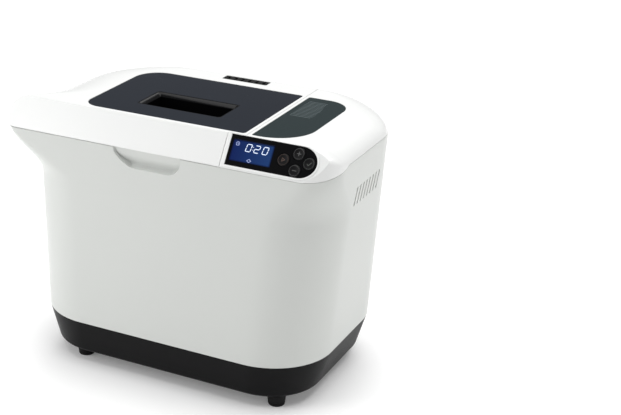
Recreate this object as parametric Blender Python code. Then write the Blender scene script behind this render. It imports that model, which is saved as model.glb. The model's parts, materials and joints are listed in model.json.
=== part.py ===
# Bread machine, in metres, +Z up. The floor is z = 0, -Y is the front with the control strip.
import math

import bmesh
import bpy
import numpy as np
from mathutils import Matrix, Vector

for old in list(bpy.data.objects):
    bpy.data.objects.remove(old, do_unlink=True)

mm = 0.001

# ---- overall sizes (mm) ----
bodyShift = 5.4          # body middle to the right of the overall middle, so the wing balances it
bodyWidth = 345.0        # at the seam between white shell and black base
bodyDepth = 233.0
cornerRadius = 71.5
seamHeight = 55.0        # seam above the floor
totalHeight = 298.8      # flat top of the lid
sideFlare = 0.07         # each side leans out this much per unit of height
faceLean = 0.05          # front and back lean in this much per unit of height
baseInset = 12.4         # base is this much smaller per side at its bottom
baseInsetDeep = 10.2
baseBottom = 14.0        # underside of the base above the floor
wall = 2.6               # moulded wall
gap = 0.3                # between pieces that touch
partingGap = 0.7         # lid to shell
lidGap = 0.6             # lid to fixed deck

# ---- lid and strip ----
stripSlope = 56.7        # degrees from horizontal
stripTopY = -86.0        # where the strip meets the flat top
partFront = totalHeight - 31.9           # top edge of the shell at the front
partSide = totalHeight - 21.9            # and along the sides
partRise = (-106.0, -60.0)
rollRadius = 10.6        # rounded back of the lid, which carries the hinge
tipReach = 11.0          # front left wing beyond the side
tipRadius = 8.0
crownInset = (66.0, 47.0)                # how far the rounding runs in from the left and right sides
crownDrop = (27.0, 25.0)                 # and how far down
flareFrom = totalHeight - 84.8        # the wing starts to grow here
flareOver = 58.0
frontRightTop = 36.0     # front right corner radius up at the strip
lidRightX = 84.0         # lid edge on the flat top
fasciaRightX = 64.0      # lid edge on the strip
stepY = -84.6
pocketBack = -97.0       # back of the block that the finger pocket is scooped from
pocketLevels = ((-150.0, partFront + 5.1, 0.0), (-104.6, partFront + 5.1, 0.0), (-103.4, partFront - 5.4, 0.3),
                (-101.2, partFront - 10.4, 1.0), (-99.4, partFront - 14.4, 2.4))
windowBox = (-116.5, 79.8, -80.4, 65.2)
windowThick = 3.4
wellBox = (-66.0, 35.0, -48.2, 0.0)
wellDepth = 24.0
ventBox = (-27.7, 27.7, 78.6, 92.0)
knuckleX = (-88.0, 58.0)
knuckleWide = 24.0
hingePin = 4.0
pinClear = 0.1

# ---- control strip ----
panelBox = (69.6, 167.6, 0.6, 33.2)      # along x, and down the strip
lcdBox = (72.6, 118.8, 5.2, 28.0)
buttonRadius = 6.3
buttonPlaces = {"left": (131.2, 17.5), "top": (146.2, 8.7), "bottom": (145.8, 26.4), "right": (159.2, 16.9)}
buttonTravel = 0.8
buttonClear = 0.4
infoBox = (88.0, 140.2, -81.0, 63.8)
infoRadius = (44.0, 28.0, 2.5, 2.5)

# ---- chamber, pan and drive ----
driveX, driveY = -28.0, -4.0
chamberWide, chamberDeep, chamberRadius = 192.0, 168.0, 30.0
chamberFloor = 70.0
chamberTop = totalHeight - 36.8
chamberWall = 1.2
deckThick = 2.8
panWide, panDeep, panRadius = 166.0, 124.0, 24.0
panBottom = 92.2
panTop = 236.0
panWall = 1.6
handleRod = 3.2
elementRod = 6.5
elementWide, elementDeep, elementZ = 178.0, 148.0, 88.0
chassisZ = 57.0
chassisThick = 2.0
shaftRadius = 4.0
shaftClear = 0.1
motorX, motorY = 128.0, 10.0
motorRadius = 31.0
bigPulley, smallPulley = 48.0, 12.0      # flange radii; their grooves are 6 : 1 at the belt's middle
grooveBig, grooveSmall = 43.9, 5.7333
beltThick, beltWide = 3.2, 7.0
pulleyZ, pulleyTall = 30.0, 12.0
feet = {"front_left": (-113.0, -84.0), "front_right": (128.0, -84.0),
        "rear_left": (-113.0, 84.0), "rear_right": (128.0, 84.0)}
footRadius = 10.5
postX, postY = 105.0, 62.0
glandX, glandZ = 94.0, 130.0

slope = math.radians(stripSlope)
hingeY = bodyDepth / 2 - faceLean * (totalHeight - rollRadius - seamHeight) - rollRadius
hingeZ = totalHeight - rollRadius

scene = bpy.context.scene
cutters = bpy.data.collections.new("cutters")
scene.collection.children.link(cutters)
cutters.hide_render = True


def finish(name, mesh, colour, rough=0.5, metal=0.0, alpha=1.0):
    obj = bpy.data.objects.new(name, mesh)
    if colour is None:
        cutters.objects.link(obj)
        obj.hide_render = True
        obj.display_type = "WIRE"
        return obj
    scene.collection.objects.link(obj)
    mat = bpy.data.materials.new(name)
    mat.use_nodes = True
    shader = mat.node_tree.nodes["Principled BSDF"]
    shader.inputs["Base Color"].default_value = (*colour, 1)
    shader.inputs["Roughness"].default_value = rough
    shader.inputs["Metallic"].default_value = metal
    shader.inputs["Alpha"].default_value = alpha
    mat.diffuse_color = (*colour, alpha)
    mesh.materials.append(mat)
    return obj


def meshFrom(points, faces):
    mesh = bpy.data.meshes.new("m")
    mesh.from_pydata([(p[0] * mm, p[1] * mm, p[2] * mm) for p in points], [], faces)
    bm = bmesh.new()
    bm.from_mesh(mesh)
    bmesh.ops.remove_doubles(bm, verts=bm.verts, dist=1e-6)
    bmesh.ops.recalc_face_normals(bm, faces=bm.faces)
    if bm.calc_volume(signed=True) < 0:
        bmesh.ops.reverse_faces(bm, faces=bm.faces)
    bm.to_mesh(mesh)
    bm.free()
    return mesh


def loft(name, rings, colour, **look):
    """Closed body through rings of equal length, with flat ends."""
    count = len(rings[0])
    points = [(x + bodyShift, y, z) for ring in rings for x, y, z in ring]
    faces = [tuple(reversed(range(count)))]
    for level in range(len(rings) - 1):
        low, high = level * count, (level + 1) * count
        for i in range(count):
            j = (i + 1) % count
            faces += [(low + i, low + j, high + j), (low + i, high + j, high + i)]
    top = (len(rings) - 1) * count
    faces.append(tuple(range(top, top + count)))
    return finish(name, meshFrom(points, faces), colour, **look)


def boolean(obj, other, how="DIFFERENCE"):
    mod = obj.modifiers.new(how.lower(), "BOOLEAN")
    mod.operation = how
    mod.solver = "EXACT"
    mod.object = other
    return obj


def rounded(x0, x1, y0, y1, radius, steps=4):
    """Outline of a box in plan, anticlockwise from the front right corner. radius may be one per corner."""
    r = radius if isinstance(radius, (tuple, list)) else (radius,) * 4
    out = []
    for cx, cy, rad, turn in ((x1 - r[0], y0 + r[0], r[0], -90), (x1 - r[1], y1 - r[1], r[1], 0),
                              (x0 + r[2], y1 - r[2], r[2], 90), (x0 + r[3], y0 + r[3], r[3], 180)):
        for k in range(steps + 1):
            a = math.radians(turn + 90 * k / steps)
            out.append((cx + rad * math.cos(a), cy + rad * math.sin(a)))
    return out


def flat(outline, z):
    return [(x, y, z) for x, y in outline]


def slab(name, outline, z0, z1, colour, **look):
    return loft(name, [flat(outline, z0), flat(outline, z1)], colour, **look)


def circle(cx, cy, radius, count=26):
    return [(cx + radius * math.cos(2 * math.pi * k / count), cy + radius * math.sin(2 * math.pi * k / count))
            for k in range(count)]


def turned(name, cx, cy, profile, colour, count=32, **look):
    """Body of revolution about a vertical axis, profile as (radius, z) upwards. Radius 0 at both ends."""
    rings = [[(x, y, z) for x, y in circle(cx, cy, max(r, 1e-3), count)] for r, z in profile]
    return loft(name, rings, colour, **look)


def box(name, x0, x1, y0, y1, z0, z1, colour=None, **look):
    return slab(name, [(x0, y0), (x1, y0), (x1, y1), (x0, y1)], z0, z1, colour, **look)


def prism(name, section, x0, x1, colour=None, **look):
    """Section given in (y, z), drawn along x."""
    return loft(name, [[(x0, y, z) for y, z in section], [(x1, y, z) for y, z in section]], colour, **look)


def lying(name, axis, centre, radius, a, b, colour=None, count=18, **look):
    """Round bar along x or y, between a and b."""
    rings = []
    for at in (a, b):
        ring = []
        for k in range(count):
            t = 2 * math.pi * k / count
            u, v = radius * math.cos(t), radius * math.sin(t)
            ring.append((at, centre[0] + u, centre[1] + v) if axis == "x" else (centre[0] + u, at, centre[1] + v))
        rings.append(ring)
    return loft(name, rings, colour, **look)


def onStrip(x, s, out=0.0):
    """Point on the slanted strip: s down from its top edge, out along its normal."""
    y = stripTopY - s * math.cos(slope) - out * math.sin(slope)
    z = totalHeight - s * math.sin(slope) + out * math.cos(slope)
    return x, y, z


def stripSlab(name, outline, low, high, colour, **look):
    return loft(name, [[onStrip(x, s, h) for x, s in outline] for h in (low, high)], colour, **look)


def originTo(obj, x, y, z):
    """Moves the object's origin onto a joint axis without moving its shape."""
    there = Vector(((x + bodyShift) * mm, y * mm, z * mm))
    obj.data.transform(Matrix.Translation(-there))
    obj.location = there
    return obj


def ease(t):
    t = min(max(t, 0.0), 1.0)
    return t * t * (3 - 2 * t)


# ---- the outside envelope, shared by shell, lid and deck ----
cornerSteps = 6
straights = {"front": 3, "right": 2, "back": 2, "left": 5}


def inset(ring, amount):
    """Offset a closed plan outline inwards."""
    n = len(ring)
    out = []
    for i in range(n):
        p, q, r = Vector(ring[i - 1]), Vector(ring[i]), Vector(ring[(i + 1) % n])
        d = (r - p).normalized()
        out.append((q.x - d.y * amount, q.y + d.x * amount))
    return out


def plan(left, right, front, back, radii, reach, power):
    """Plan outline from its four half sizes, four corner radii (front right, back right, back left, front left)
    and how far the front left corner reaches out beyond the left side."""
    fr, br, bl, fl = radii
    pts = []

    def line(p, q, count):
        for k in range(count):
            pts.append((p[0] + (q[0] - p[0]) * k / count, p[1] + (q[1] - p[1]) * k / count))

    def arc(cx, cy, rad, turn):
        for k in range(cornerSteps):
            t = math.radians(turn + 90 * k / cornerSteps)
            pts.append((cx + rad * math.cos(t), cy + rad * math.sin(t)))
    line((-left - reach + fl, -front), (right - fr, -front), straights["front"])
    arc(right - fr, -front + fr, fr, -90)
    line((right, -front + fr), (right, back - br), straights["right"])
    arc(right - br, back - br, br, 0)
    line((right - br, back), (-left + bl, back), straights["back"])
    arc(-left + bl, back - bl, bl, 90)
    first, last = back - bl, -front + fl
    for k in range(straights["left"]):
        t = k / straights["left"]
        pts.append((-left - reach * ease(t) ** power, first + (last - first) * t))
    arc(-left - reach + fl, -front + fl, fl, 180)
    return pts


def outline(z, shrink=0.0):
    """Plan of the body at height z; both front corners grow squarer upwards and the left one reaches out."""
    a = bodyWidth / 2 + sideFlare * (z - seamHeight) - shrink
    b = bodyDepth / 2 - faceLean * (z - seamHeight) - shrink
    grow = ease((z - flareFrom) / flareOver)
    rightR = cornerRadius + (frontRightTop - cornerRadius) * grow
    leftR = cornerRadius + (tipRadius - cornerRadius) * grow
    radii = (rightR - shrink, cornerRadius - shrink, cornerRadius - shrink, leftR - shrink)
    return plan(a, a, b, b, radii, tipReach * grow, 1.5)


def crown(shrink=0.0):
    """Edge of the flat top, and how far down the rounding starts, point for point with outline()."""
    z = totalHeight - 26
    a = bodyWidth / 2 + sideFlare * (z - seamHeight) - shrink
    b = bodyDepth / 2 - faceLean * (z - seamHeight) - shrink
    radii = (frontRightTop - 10 - shrink, cornerRadius - 8 - shrink, cornerRadius - 4 - shrink, tipRadius - 2 - shrink)
    edge = plan(a - crownInset[0], a - crownInset[1], b - 4, b - rollRadius, radii, crownInset[0] + tipReach - 13.5, 3.0)
    drop = []
    for x, y in outline(z):
        side = ease((abs(x) - 96.0) / 78.0)            # 0 in the middle, 1 out at the sides
        frontal = ease((-y - 62.0) / 36.0)
        deep = crownDrop[0] if x < 0 else crownDrop[1]
        drop.append(deep * side * (1 - 0.55 * frontal) + rollRadius * (1 - side) * (1 if y > 0 else 0.5))
    return edge, drop


def envelope(name, z0, levels, shrink=0.0, bend=7, colour=None, **look):
    """Loft of the envelope from z0 up to the flat top, made smaller all round by shrink."""
    edge, drop = crown(shrink)
    start = totalHeight - 31.5
    rings = [flat(outline(z, shrink), z) for z in levels if z0 <= z < start - 1]
    rings.append(flat(outline(start, shrink), start))
    low = outline(totalHeight - 26, shrink)
    top = totalHeight - shrink
    for k in range(bend + 1):
        t = math.pi / 2 * k / bend
        ring = []
        for (ox, oy), (ex, ey), d in zip(low, edge, drop):
            ring.append((ex + (ox - ex) * math.cos(t), ey + (oy - ey) * math.cos(t), top - d + d * math.sin(t)))
        rings.append(ring)
    return loft(name, rings, colour, **look)


def stripCutter(name, inward=0.0):
    """Everything in front of the slanted strip."""
    c, s = math.cos(slope), math.sin(slope)
    y0 = stripTopY + inward * s
    z0 = totalHeight - inward * c
    section = [(y0 + 40 * c, z0 + 40 * s), (y0 - 90 * c, z0 - 90 * s), (y0 - 90 * c - 60 * s, z0 - 90 * s + 60 * c),
               (y0 + 40 * c - 60 * s, z0 + 40 * s + 60 * c)]
    return prism(name, section, -260, 260)


levels = [seamHeight + gap] + [totalHeight - drop for drop in (86.8, 76.8, 67.8, 59.8, 51.8, 43.8, 35.8)]
white = (0.86, 0.87, 0.86)


# ---- outer housing ----
shell = envelope("outer_housing", 0, levels, colour=white, rough=0.35)
shellCore = envelope("shell_core", 0, [30.0] + [totalHeight - drop for drop in (98.8, 76.8, 59.8, 43.8)], shrink=wall,
                     bend=4)
boolean(shellCore, box("pocket_block", -66.0, 24.0, -130.0, pocketBack, partFront - 23.4, partFront + 5))
boolean(shell, shellCore)
over = totalHeight + 41.2
boolean(shell, prism("shell_top_cut", [(-150, partFront), (partRise[0], partFront), (partRise[1], partSide),
                                       (150, partSide), (150, over), (-150, over)], -260, 260))
# finger pocket under the lid's front edge, deeper towards its lower lip
leftSide = [(partFront - drop, x) for drop, x in ((19.7, -34.0), (17.9, -44.0), (5.9, -61.0), (-13.1, -62.0))]
rightSide = [(partFront - drop, x) for drop, x in ((19.7, 6.0), (16.4, 13.0), (8.9, 18.5), (-13.1, 19.0))]


def pocketRing(y, topZ, shrink):
    low = leftSide[0][0] + shrink
    heights = [low + (topZ - low) * t for t in (1.0, 0.7, 0.45, 0.2, 0.07, 0.0)]
    left = [(float(np.interp(z, *zip(*leftSide))) + shrink, y, z) for z in heights]
    right = [(float(np.interp(z, *zip(*rightSide))) - shrink, y, z) for z in heights]
    return left + right[::-1]


boolean(shell, loft("recess_cut", [pocketRing(*level) for level in pocketLevels], None))
# slots of the side vent
slotLow, slotTall = totalHeight - 76.3, 20.0
slots = []
for k in range(8):
    y = -34.0 + 8.6 * k
    slots.append([(y, slotLow), (y + 3.4, slotLow), (y + 9.0, slotLow + slotTall), (y + 5.6, slotLow + slotTall)])
for k, slot in enumerate(slots):
    boolean(shell, prism(f"vent_slot_{k}", slot, bodyWidth / 2 - 7.5, bodyWidth / 2 + 37.5))
# seats for the hinge knuckles, and the cord gland's hole
boolean(shell, lying("gland_hole", "y", (glandX, glandZ), 9.4, 100, 130))

# ---- lid ----
lidLow = totalHeight - 43.8
lid = envelope("lid_shell", lidLow, [lidLow + 3, lidLow + 8], colour=(0.9, 0.9, 0.89), rough=0.3)
lowCut = [(-150, lidLow - 55), (-150, partFront + partingGap), (partRise[0], partFront + partingGap),
          (partRise[1], partSide + partingGap), (150, partSide + partingGap), (150, lidLow - 55)]
boolean(lid, prism("lid_low_cut", lowCut, -260, 260))
boolean(lid, stripCutter("lid_strip_cut"))


def stepped(name, shift, sideways, z0):
    """Everything to the right of the stepped line between lid and deck, or to the left of it."""
    far = 260 if sideways > 0 else -260
    x0, x1, y = fasciaRightX + shift, lidRightX + shift, stepY - shift
    line = [(far, -150.0 - shift), (x0, -150.0 - shift), (x0, y), (x1, y), (x1, 150.0 + shift), (far, 150.0 + shift)]
    return slab(name, line, z0, over + shift, None)


boolean(lid, stepped("lid_right_cut", -lidGap / 2, 1, lidLow - 54))
rollCut = rollRadius + 0.15
rear = [(hingeY, lidLow - 35), (140.0, lidLow - 35), (140.0, hingeZ + 0.2), (hingeY + rollCut, hingeZ + 0.2)]
rear += [(hingeY + rollCut * math.cos(t), hingeZ - rollCut * math.sin(t))
         for t in [math.pi / 2 * k / 8 for k in range(0, 9)]]
boolean(lid, prism("lid_rear_cut", rear, -260, 260))
lidCore = envelope("lid_core", lidLow - 55, [lidLow - 15, lidLow, lidLow + 8], shrink=wall, bend=6)
boolean(lidCore, stripCutter("core_strip_cut", wall))
boolean(lidCore, stepped("core_right_cut", -lidGap / 2 - wall, 1, 150))
boolean(lid, lidCore)
roll = lying("lid_roll", "x", (hingeY, hingeZ), rollRadius - 0.7, -112, lidRightX - lidGap / 2 - 0.4, count=26)
boolean(lid, roll, "UNION")
wx0, wx1, wy0, wy1 = windowBox
windowRadius = (3.0, 3.0, 30.0, 20.0)
boolean(lid, slab("window_hole", rounded(wx0 - gap, wx1 + gap, wy0 - gap, wy1 + gap, [r + gap for r in windowRadius]),
                  totalHeight - 12, over, None))
vx0, vx1, vy0, vy1 = ventBox
boolean(lid, slab("vent_hole", rounded(vx0 - gap, vx1 + gap, vy0 - gap, vy1 + gap, 2.0), totalHeight - 3.4, over, None))
for k, x in enumerate(knuckleX):
    half = knuckleWide / 2 + 0.6
    boolean(lid, box(f"knuckle_notch_{k}", x - half, x + half, hingeY - 13, 130, lidLow - 15, totalHeight - 2.3))
    boolean(lid, lying(f"pin_hole_{k}", "x", (hingeY, hingeZ), hingePin / 2 + pinClear, x - 24, x + 24, count=20))
originTo(lid, 0, hingeY, hingeZ)


def onLid(obj):
    originTo(obj, 0, hingeY, hingeZ)
    obj.parent = lid
    obj.matrix_parent_inverse = Matrix.Translation(-lid.location)
    return obj


charcoal, black = (0.03, 0.032, 0.04), (0.012, 0.012, 0.013)
flangeLow = totalHeight - windowThick - 1.4
window = onLid(slab("lid_window", rounded(*windowBox, windowRadius), totalHeight - 0.1 - windowThick,
                    totalHeight - 0.1, charcoal, rough=0.05, alpha=0.6))
flange = slab("window_flange", rounded(wx0 - 3.5, lidRightX - lidGap / 2 - wall - 0.4,
                                       stepY + lidGap / 2 + wall + gap, wy1 + 4, (3.9, 4.2, 33.5, 21.4)),
              flangeLow, totalHeight - wall - gap, None)
originTo(flange, 0, hingeY, hingeZ)
boolean(window, flange, "UNION")
ex0, ex1, ey0, ey1 = wellBox
windowHoleCut = slab("well_hole", rounded(ex0 - gap, ex1 + gap, ey0 - gap, ey1 + gap, 3.3),
                     totalHeight - 20, over, None)
boolean(window, windowHoleCut)

# ---- dispenser well hanging under the window, with its hinged floor ----
wellBottom = totalHeight - wellDepth
well = onLid(slab("dispenser_well", rounded(ex0, ex1, ey0, ey1, 3.0), wellBottom, totalHeight - 0.2, black, rough=0.3))
collar = slab("well_collar", rounded(ex0 - 4, ex1 + 4, ey0 - 4, ey1 + 4, 6.0), flangeLow - gap - 1.8,
              flangeLow - gap, None)
boolean(well, collar, "UNION")
boolean(well, slab("well_inside", rounded(ex0 + 1.6, ex1 - 1.6, ey0 + 1.6, ey1 - 1.6, 2.0), wellBottom - 5, over, None))
flapY, flapZ = ey1 - 1.0, wellBottom - 2.2
flap = slab("dispenser_flap", rounded(ex0 + 1, ex1 - 1, ey0 + 1.0, ey1 - 4.2, 2.0), wellBottom - 0.4 - 1.6,
            wellBottom - 0.4, (0.05, 0.05, 0.055), rough=0.4)
barrel = lying("flap_barrel", "x", (flapY, flapZ), 1.7, ex0 + 8, ex1 - 8, count=16)
web = box("flap_web", ex0 + 8, ex1 - 8, ey1 - 6.0, flapY, wellBottom - 2.0, wellBottom - 0.7)
boolean(flap, web, "UNION")
boolean(flap, barrel, "UNION")
originTo(flap, 0, flapY, flapZ)
flap.parent = lid
flap.matrix_parent_inverse = Matrix.Translation(-lid.location)

# ---- under side of the lid ----
linerBottom = totalHeight - 30.5
linerTop = linerBottom + 1.8
linerOutline = rounded(-158, lidRightX - 5, -92, 78, (50, 8, 52, 16), steps=5)
liner = onLid(slab("lid_liner", linerOutline, linerBottom, linerTop + 4.4, (0.55, 0.56, 0.57), rough=0.3, metal=0.9))
boolean(liner, slab("liner_dish", rounded(-158 + 2, lidRightX - 7, -90, 76, (48, 6, 50, 14), steps=5), linerTop, over, None))
boolean(liner, slab("liner_opening", rounded(-84, 52, -60, 34, 10), chamberTop - 12, over, None))
seal = onLid(slab("lid_seal", rounded(driveX - 104, driveX + 102, driveY - 90.5, driveY + 88, 36), linerBottom - 2.8,
                  linerBottom - gap, (0.05, 0.05, 0.05), rough=0.8))
boolean(seal, slab("seal_inside", rounded(driveX - 98, driveX + 96, driveY - 84.5, driveY + 82, 30), chamberTop - 12, over, None))
pane = onLid(slab("inner_window", rounded(-82.5, 50.5, -58.5, 32.5, 9), linerTop + gap, linerTop + 2.3,
                  (0.5, 0.55, 0.55), rough=0.05, alpha=0.35))
pane.data.transform(Matrix.Identity(4))
boolean(pane, slab("pane_hole", rounded(ex0 - 2.4, ex1 + 2.4, ey0 - 2.4, ey1 + 2.6, 4), chamberTop - 12, over, None))
boolean(liner, slab("liner_ledge", rounded(-86.5, 54.5, -62.5, 36.5, 12), linerTop, over, None))
vent = onLid(slab("steam_vent", rounded(vx0, vx1, vy0, vy1, 1.7), totalHeight - 3.1, totalHeight - 0.2, black, rough=0.4))
for k in range(6):
    x = -22.0 + 8.8 * k
    boolean(vent, box(f"steam_slot_{k}", x - 1.3, x + 1.3, vy0 + 3, vy1 - 3, totalHeight - 1.6, over))

# ---- hinge knuckles standing on the back wall, with their pins ----
for side, x in zip(("left", "right"), knuckleX):
    half = knuckleWide / 2
    knuckle = lying(f"hinge_knuckle_{side}", "x", (hingeY, hingeZ), 6.6, x - half, x + half, (0.3, 0.3, 0.31),
                    rough=0.4, metal=0.8, count=24)
    boolean(knuckle, box(f"knuckle_arm_{side}", x - half, x + half, hingeY - 5.0, hingeY + 6.0, lidLow - 15, hingeZ), "UNION")
    boolean(knuckle, lying(f"knuckle_bore_{side}", "x", (hingeY, hingeZ), hingePin / 2 + pinClear, x - 20, x + 20, count=20))
    lying(f"hinge_pin_{side}", "x", (hingeY, hingeZ), hingePin / 2, x - 21, x + 21, (0.6, 0.6, 0.6), count=20,
          rough=0.25, metal=1.0)

# ---- fixed deck on the right ----
deck = envelope("top_deck", lidLow, [lidLow + 3, lidLow + 8], colour=(0.9, 0.9, 0.89), rough=0.3)
boolean(deck, prism("deck_low_cut", [(y, z - 0.3) if z > lidLow else (y, z) for y, z in lowCut], -260, 260))
boolean(deck, stripCutter("deck_strip_cut"))
boolean(deck, stepped("deck_left_cut", lidGap / 2, -1, lidLow - 53))
deckCore = envelope("deck_core", lidLow - 55, [lidLow - 15, lidLow, lidLow + 8], shrink=wall, bend=6)
boolean(deckCore, stripCutter("deck_core_strip", wall))
boolean(deckCore, stepped("deck_core_left", lidGap / 2 + wall, -1, 150))
boolean(deck, deckCore)
px0, px1, ps0, ps1 = panelBox
half = (ps1 - ps0) / 2
panelOutline = [(px0, ps0), (px0, ps1)]
for k in range(13):
    t = math.pi * k / 12
    panelOutline.append((px1 - 19.0 + 19.0 * math.sin(t), (ps0 + ps1) / 2 + half * math.cos(t)))
grown = [(px0 - gap, ps0 - gap), (px0 - gap, ps1 + gap)]
rim = [(px0 - 4.6, ps0 - 0.4), (px0 - 4.6, ps1 + 2.4)]
for k in range(13):
    t = math.pi * k / 12
    grown.append((px1 - 19.0 + (19.0 + gap) * math.sin(t), (ps0 + ps1) / 2 + (half + gap) * math.cos(t)))
    rim.append((px1 - 19.0 + 21.4 * math.sin(t), (ps0 + ps1) / 2 + (half + 2.4) * math.cos(t)))
rim = [(x, max(s, -0.1)) for x, s in rim]
boolean(deck, stripSlab("panel_rim", rim, -1.2, 0.7, None), "UNION")
boolean(deck, stripSlab("panel_hole", grown, -9, 9, None))
ix0, ix1, iy0, iy1 = infoBox
boolean(deck, slab("info_pocket", rounded(ix0 - gap, ix1 + gap, iy0 - gap, iy1 + gap, [r + gap for r in infoRadius]),
                   totalHeight - 1.5, over, None))
slab("info_panel", rounded(*infoBox, infoRadius), totalHeight - 1.2, totalHeight - 0.1, (0.05, 0.065, 0.07), rough=0.25)

# ---- control panel, display and keys on the strip ----
panel = stripSlab("control_panel", panelOutline, -2.2, 0.4, black, rough=0.08)
lx0, lx1, ls0, ls1 = lcdBox
lcdOutline = [(lx0, ls0), (lx0, ls1), (lx1, ls1), (lx1, ls0)]
grownLcd = [(lx0 - gap, ls0 - gap), (lx0 - gap, ls1 + gap), (lx1 + gap, ls1 + gap), (lx1 + gap, ls0 - gap)]
boolean(panel, stripSlab("lcd_hole", grownLcd, -6, 6, None))
stripSlab("lcd_display", lcdOutline, -4.5, 0.3, (0.03, 0.05, 0.25), rough=0.1)
axes = {}
for place, (bx, bs) in buttonPlaces.items():
    ring = [(bx + p, bs + q) for p, q in circle(0, 0, buttonRadius, 20)]
    hole = [(bx + p, bs + q) for p, q in circle(0, 0, buttonRadius + buttonClear, 20)]
    boolean(panel, stripSlab(f"button_hole_{place}", hole, -6, 6, None))
    button = stripSlab(f"button_{place}", ring, -5.0, 1.1, (0.02, 0.02, 0.022), rough=0.3)
    originTo(button, *onStrip(bx, bs, 1.1))
board = [(px0 + 18, ps0 + 2.5), (px0 + 18, ps1 - 2), (px1 - 14, ps1 - 2), (px1 - 14, ps0 + 2.5)]
stripSlab("control_board", board, -9.2, -7.6, (0.03, 0.16, 0.06), rough=0.5)

# ---- base ----
a, b = bodyWidth / 2, bodyDepth / 2


def baseRing(down, shrink=0.0):
    t = 1 - (down - baseBottom) / (seamHeight - baseBottom)
    ring = rounded(-a + baseInset * t, a - baseInset * t, -b + baseInsetDeep * t, b - baseInsetDeep * t,
                   cornerRadius - 13.2 * t, steps=6)
    return flat(inset(ring, shrink), down)


base = loft("base_tray", [baseRing(baseBottom + 2.5, 1.6), baseRing(baseBottom + 3.6, 0.4), baseRing(baseBottom + 6),
                          baseRing(seamHeight)], (0.016, 0.016, 0.017), rough=0.5)
base.data.transform(Matrix.Identity(4))
floorPlate = loft("base_floor", [baseRing(baseBottom, 3.2), baseRing(baseBottom + 2.8, 1.2)], None)
boolean(base, floorPlate, "UNION")
boolean(base, loft("base_inside", [baseRing(baseBottom + 3, 3.6), baseRing(baseBottom + 6, 2.8),
                                   baseRing(seamHeight + 1, 2.6)], None))
posts = [(sx * postX, sy * postY) for sx in (-1, 1) for sy in (-1, 1)]
for k, (x, y) in enumerate(posts):
    boolean(base, turned(f"post_{k}", x, y, [(5.5, baseBottom + 1), (5.5, chassisZ - gap)], None, count=12), "UNION")
    boolean(base, turned(f"post_bore_{k}", x, y, [(4.8, 0), (4.8, baseBottom + 2.2), (2.2, baseBottom + 2.3),
                                                  (2.2, 80)], None, count=12))
for name, (x, y) in feet.items():
    boolean(base, turned(f"foot_hole_{name}", x, y, [(3.8, 0), (3.8, baseBottom + 6)], None, count=12))
    turned(f"foot_{name}", x, y, [(footRadius - 2.2, 0), (footRadius - 1.2, 1.0), (footRadius, baseBottom - gap),
                                  (3.5, baseBottom - gap + 0.01), (3.5, baseBottom + 4.5)],
           (0.02, 0.02, 0.02), rough=0.8, count=24)
for k, (x, y) in enumerate(posts):
    turned(f"base_screw_{k + 1}", x, y, [(4.2, baseBottom + 0.4), (4.2, baseBottom + 2.0), (1.8, baseBottom + 2.01),
                                         (1.8, chassisZ + 1.5)], (0.5, 0.5, 0.5), rough=0.3, metal=1, count=20)
chassis = slab("chassis_plate", rounded(-150, 150, -92, 92, 40, steps=4), chassisZ, chassisZ + chassisThick,
               (0.6, 0.6, 0.6), rough=0.35, metal=1)
for k, (x, y) in enumerate(posts):
    boolean(chassis, turned(f"chassis_screw_{k}", x, y, [(2.2, 50), (2.2, 70)], None, count=10))
boolean(chassis, turned("bearing_way", driveX, driveY, [(11.6, 50), (11.6, 66)], None, count=24))
boolean(chassis, turned("motor_way", motorX, motorY, [(9.0, 50), (9.0, 66)], None, count=24))

# ---- chamber ----
cx0, cx1 = driveX - chamberWide / 2, driveX + chamberWide / 2
cy0, cy1 = driveY - chamberDeep / 2, driveY + chamberDeep / 2
chamber = slab("chamber_liner", rounded(cx0 - chamberWall, cx1 + chamberWall, cy0 - chamberWall, cy1 + chamberWall,
                                        chamberRadius + chamberWall), chamberFloor, chamberTop - 0.1,
               (0.62, 0.62, 0.61), rough=0.35, metal=0.9)
boolean(chamber, slab("chamber_lip", rounded(cx0 - 7, cx1 + 7, cy0 - 7, hingeY - 7.24, chamberRadius + 7),
                      chamberTop - 1.4, chamberTop, None), "UNION")
boolean(chamber, slab("chamber_inside", rounded(cx0, cx1, cy0, cy1, chamberRadius), chamberFloor + chamberWall,
                      over, None))
boolean(chamber, turned("chamber_shaft_way", driveX, driveY, [(11.6, 60), (11.6, 90)], None, count=24))
deckPlate = slab("inner_deck", outline(chamberTop, wall + 0.9), chamberTop + gap, chamberTop + gap + deckThick,
                 (0.8, 0.8, 0.8), rough=0.5)
boolean(deckPlate, slab("deck_opening", rounded(cx0, cx1, cy0, cy1, chamberRadius), chamberTop - 12, over, None))
boolean(deckPlate, box("deck_plate_right", lidRightX - 2, 260, -150, 150, chamberTop - 12, over))
boolean(deckPlate, box("deck_plate_front", -260, 260, -150, pocketBack + 0.7, chamberTop - 12, over))
for side, x in zip(("left", "right"), knuckleX):
    half = knuckleWide / 2 + 0.5
    boolean(deckPlate, box(f"deck_knuckle_{side}", x - half, x + half, hingeY - 5.5, 140, chamberTop - 12, over))

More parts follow.
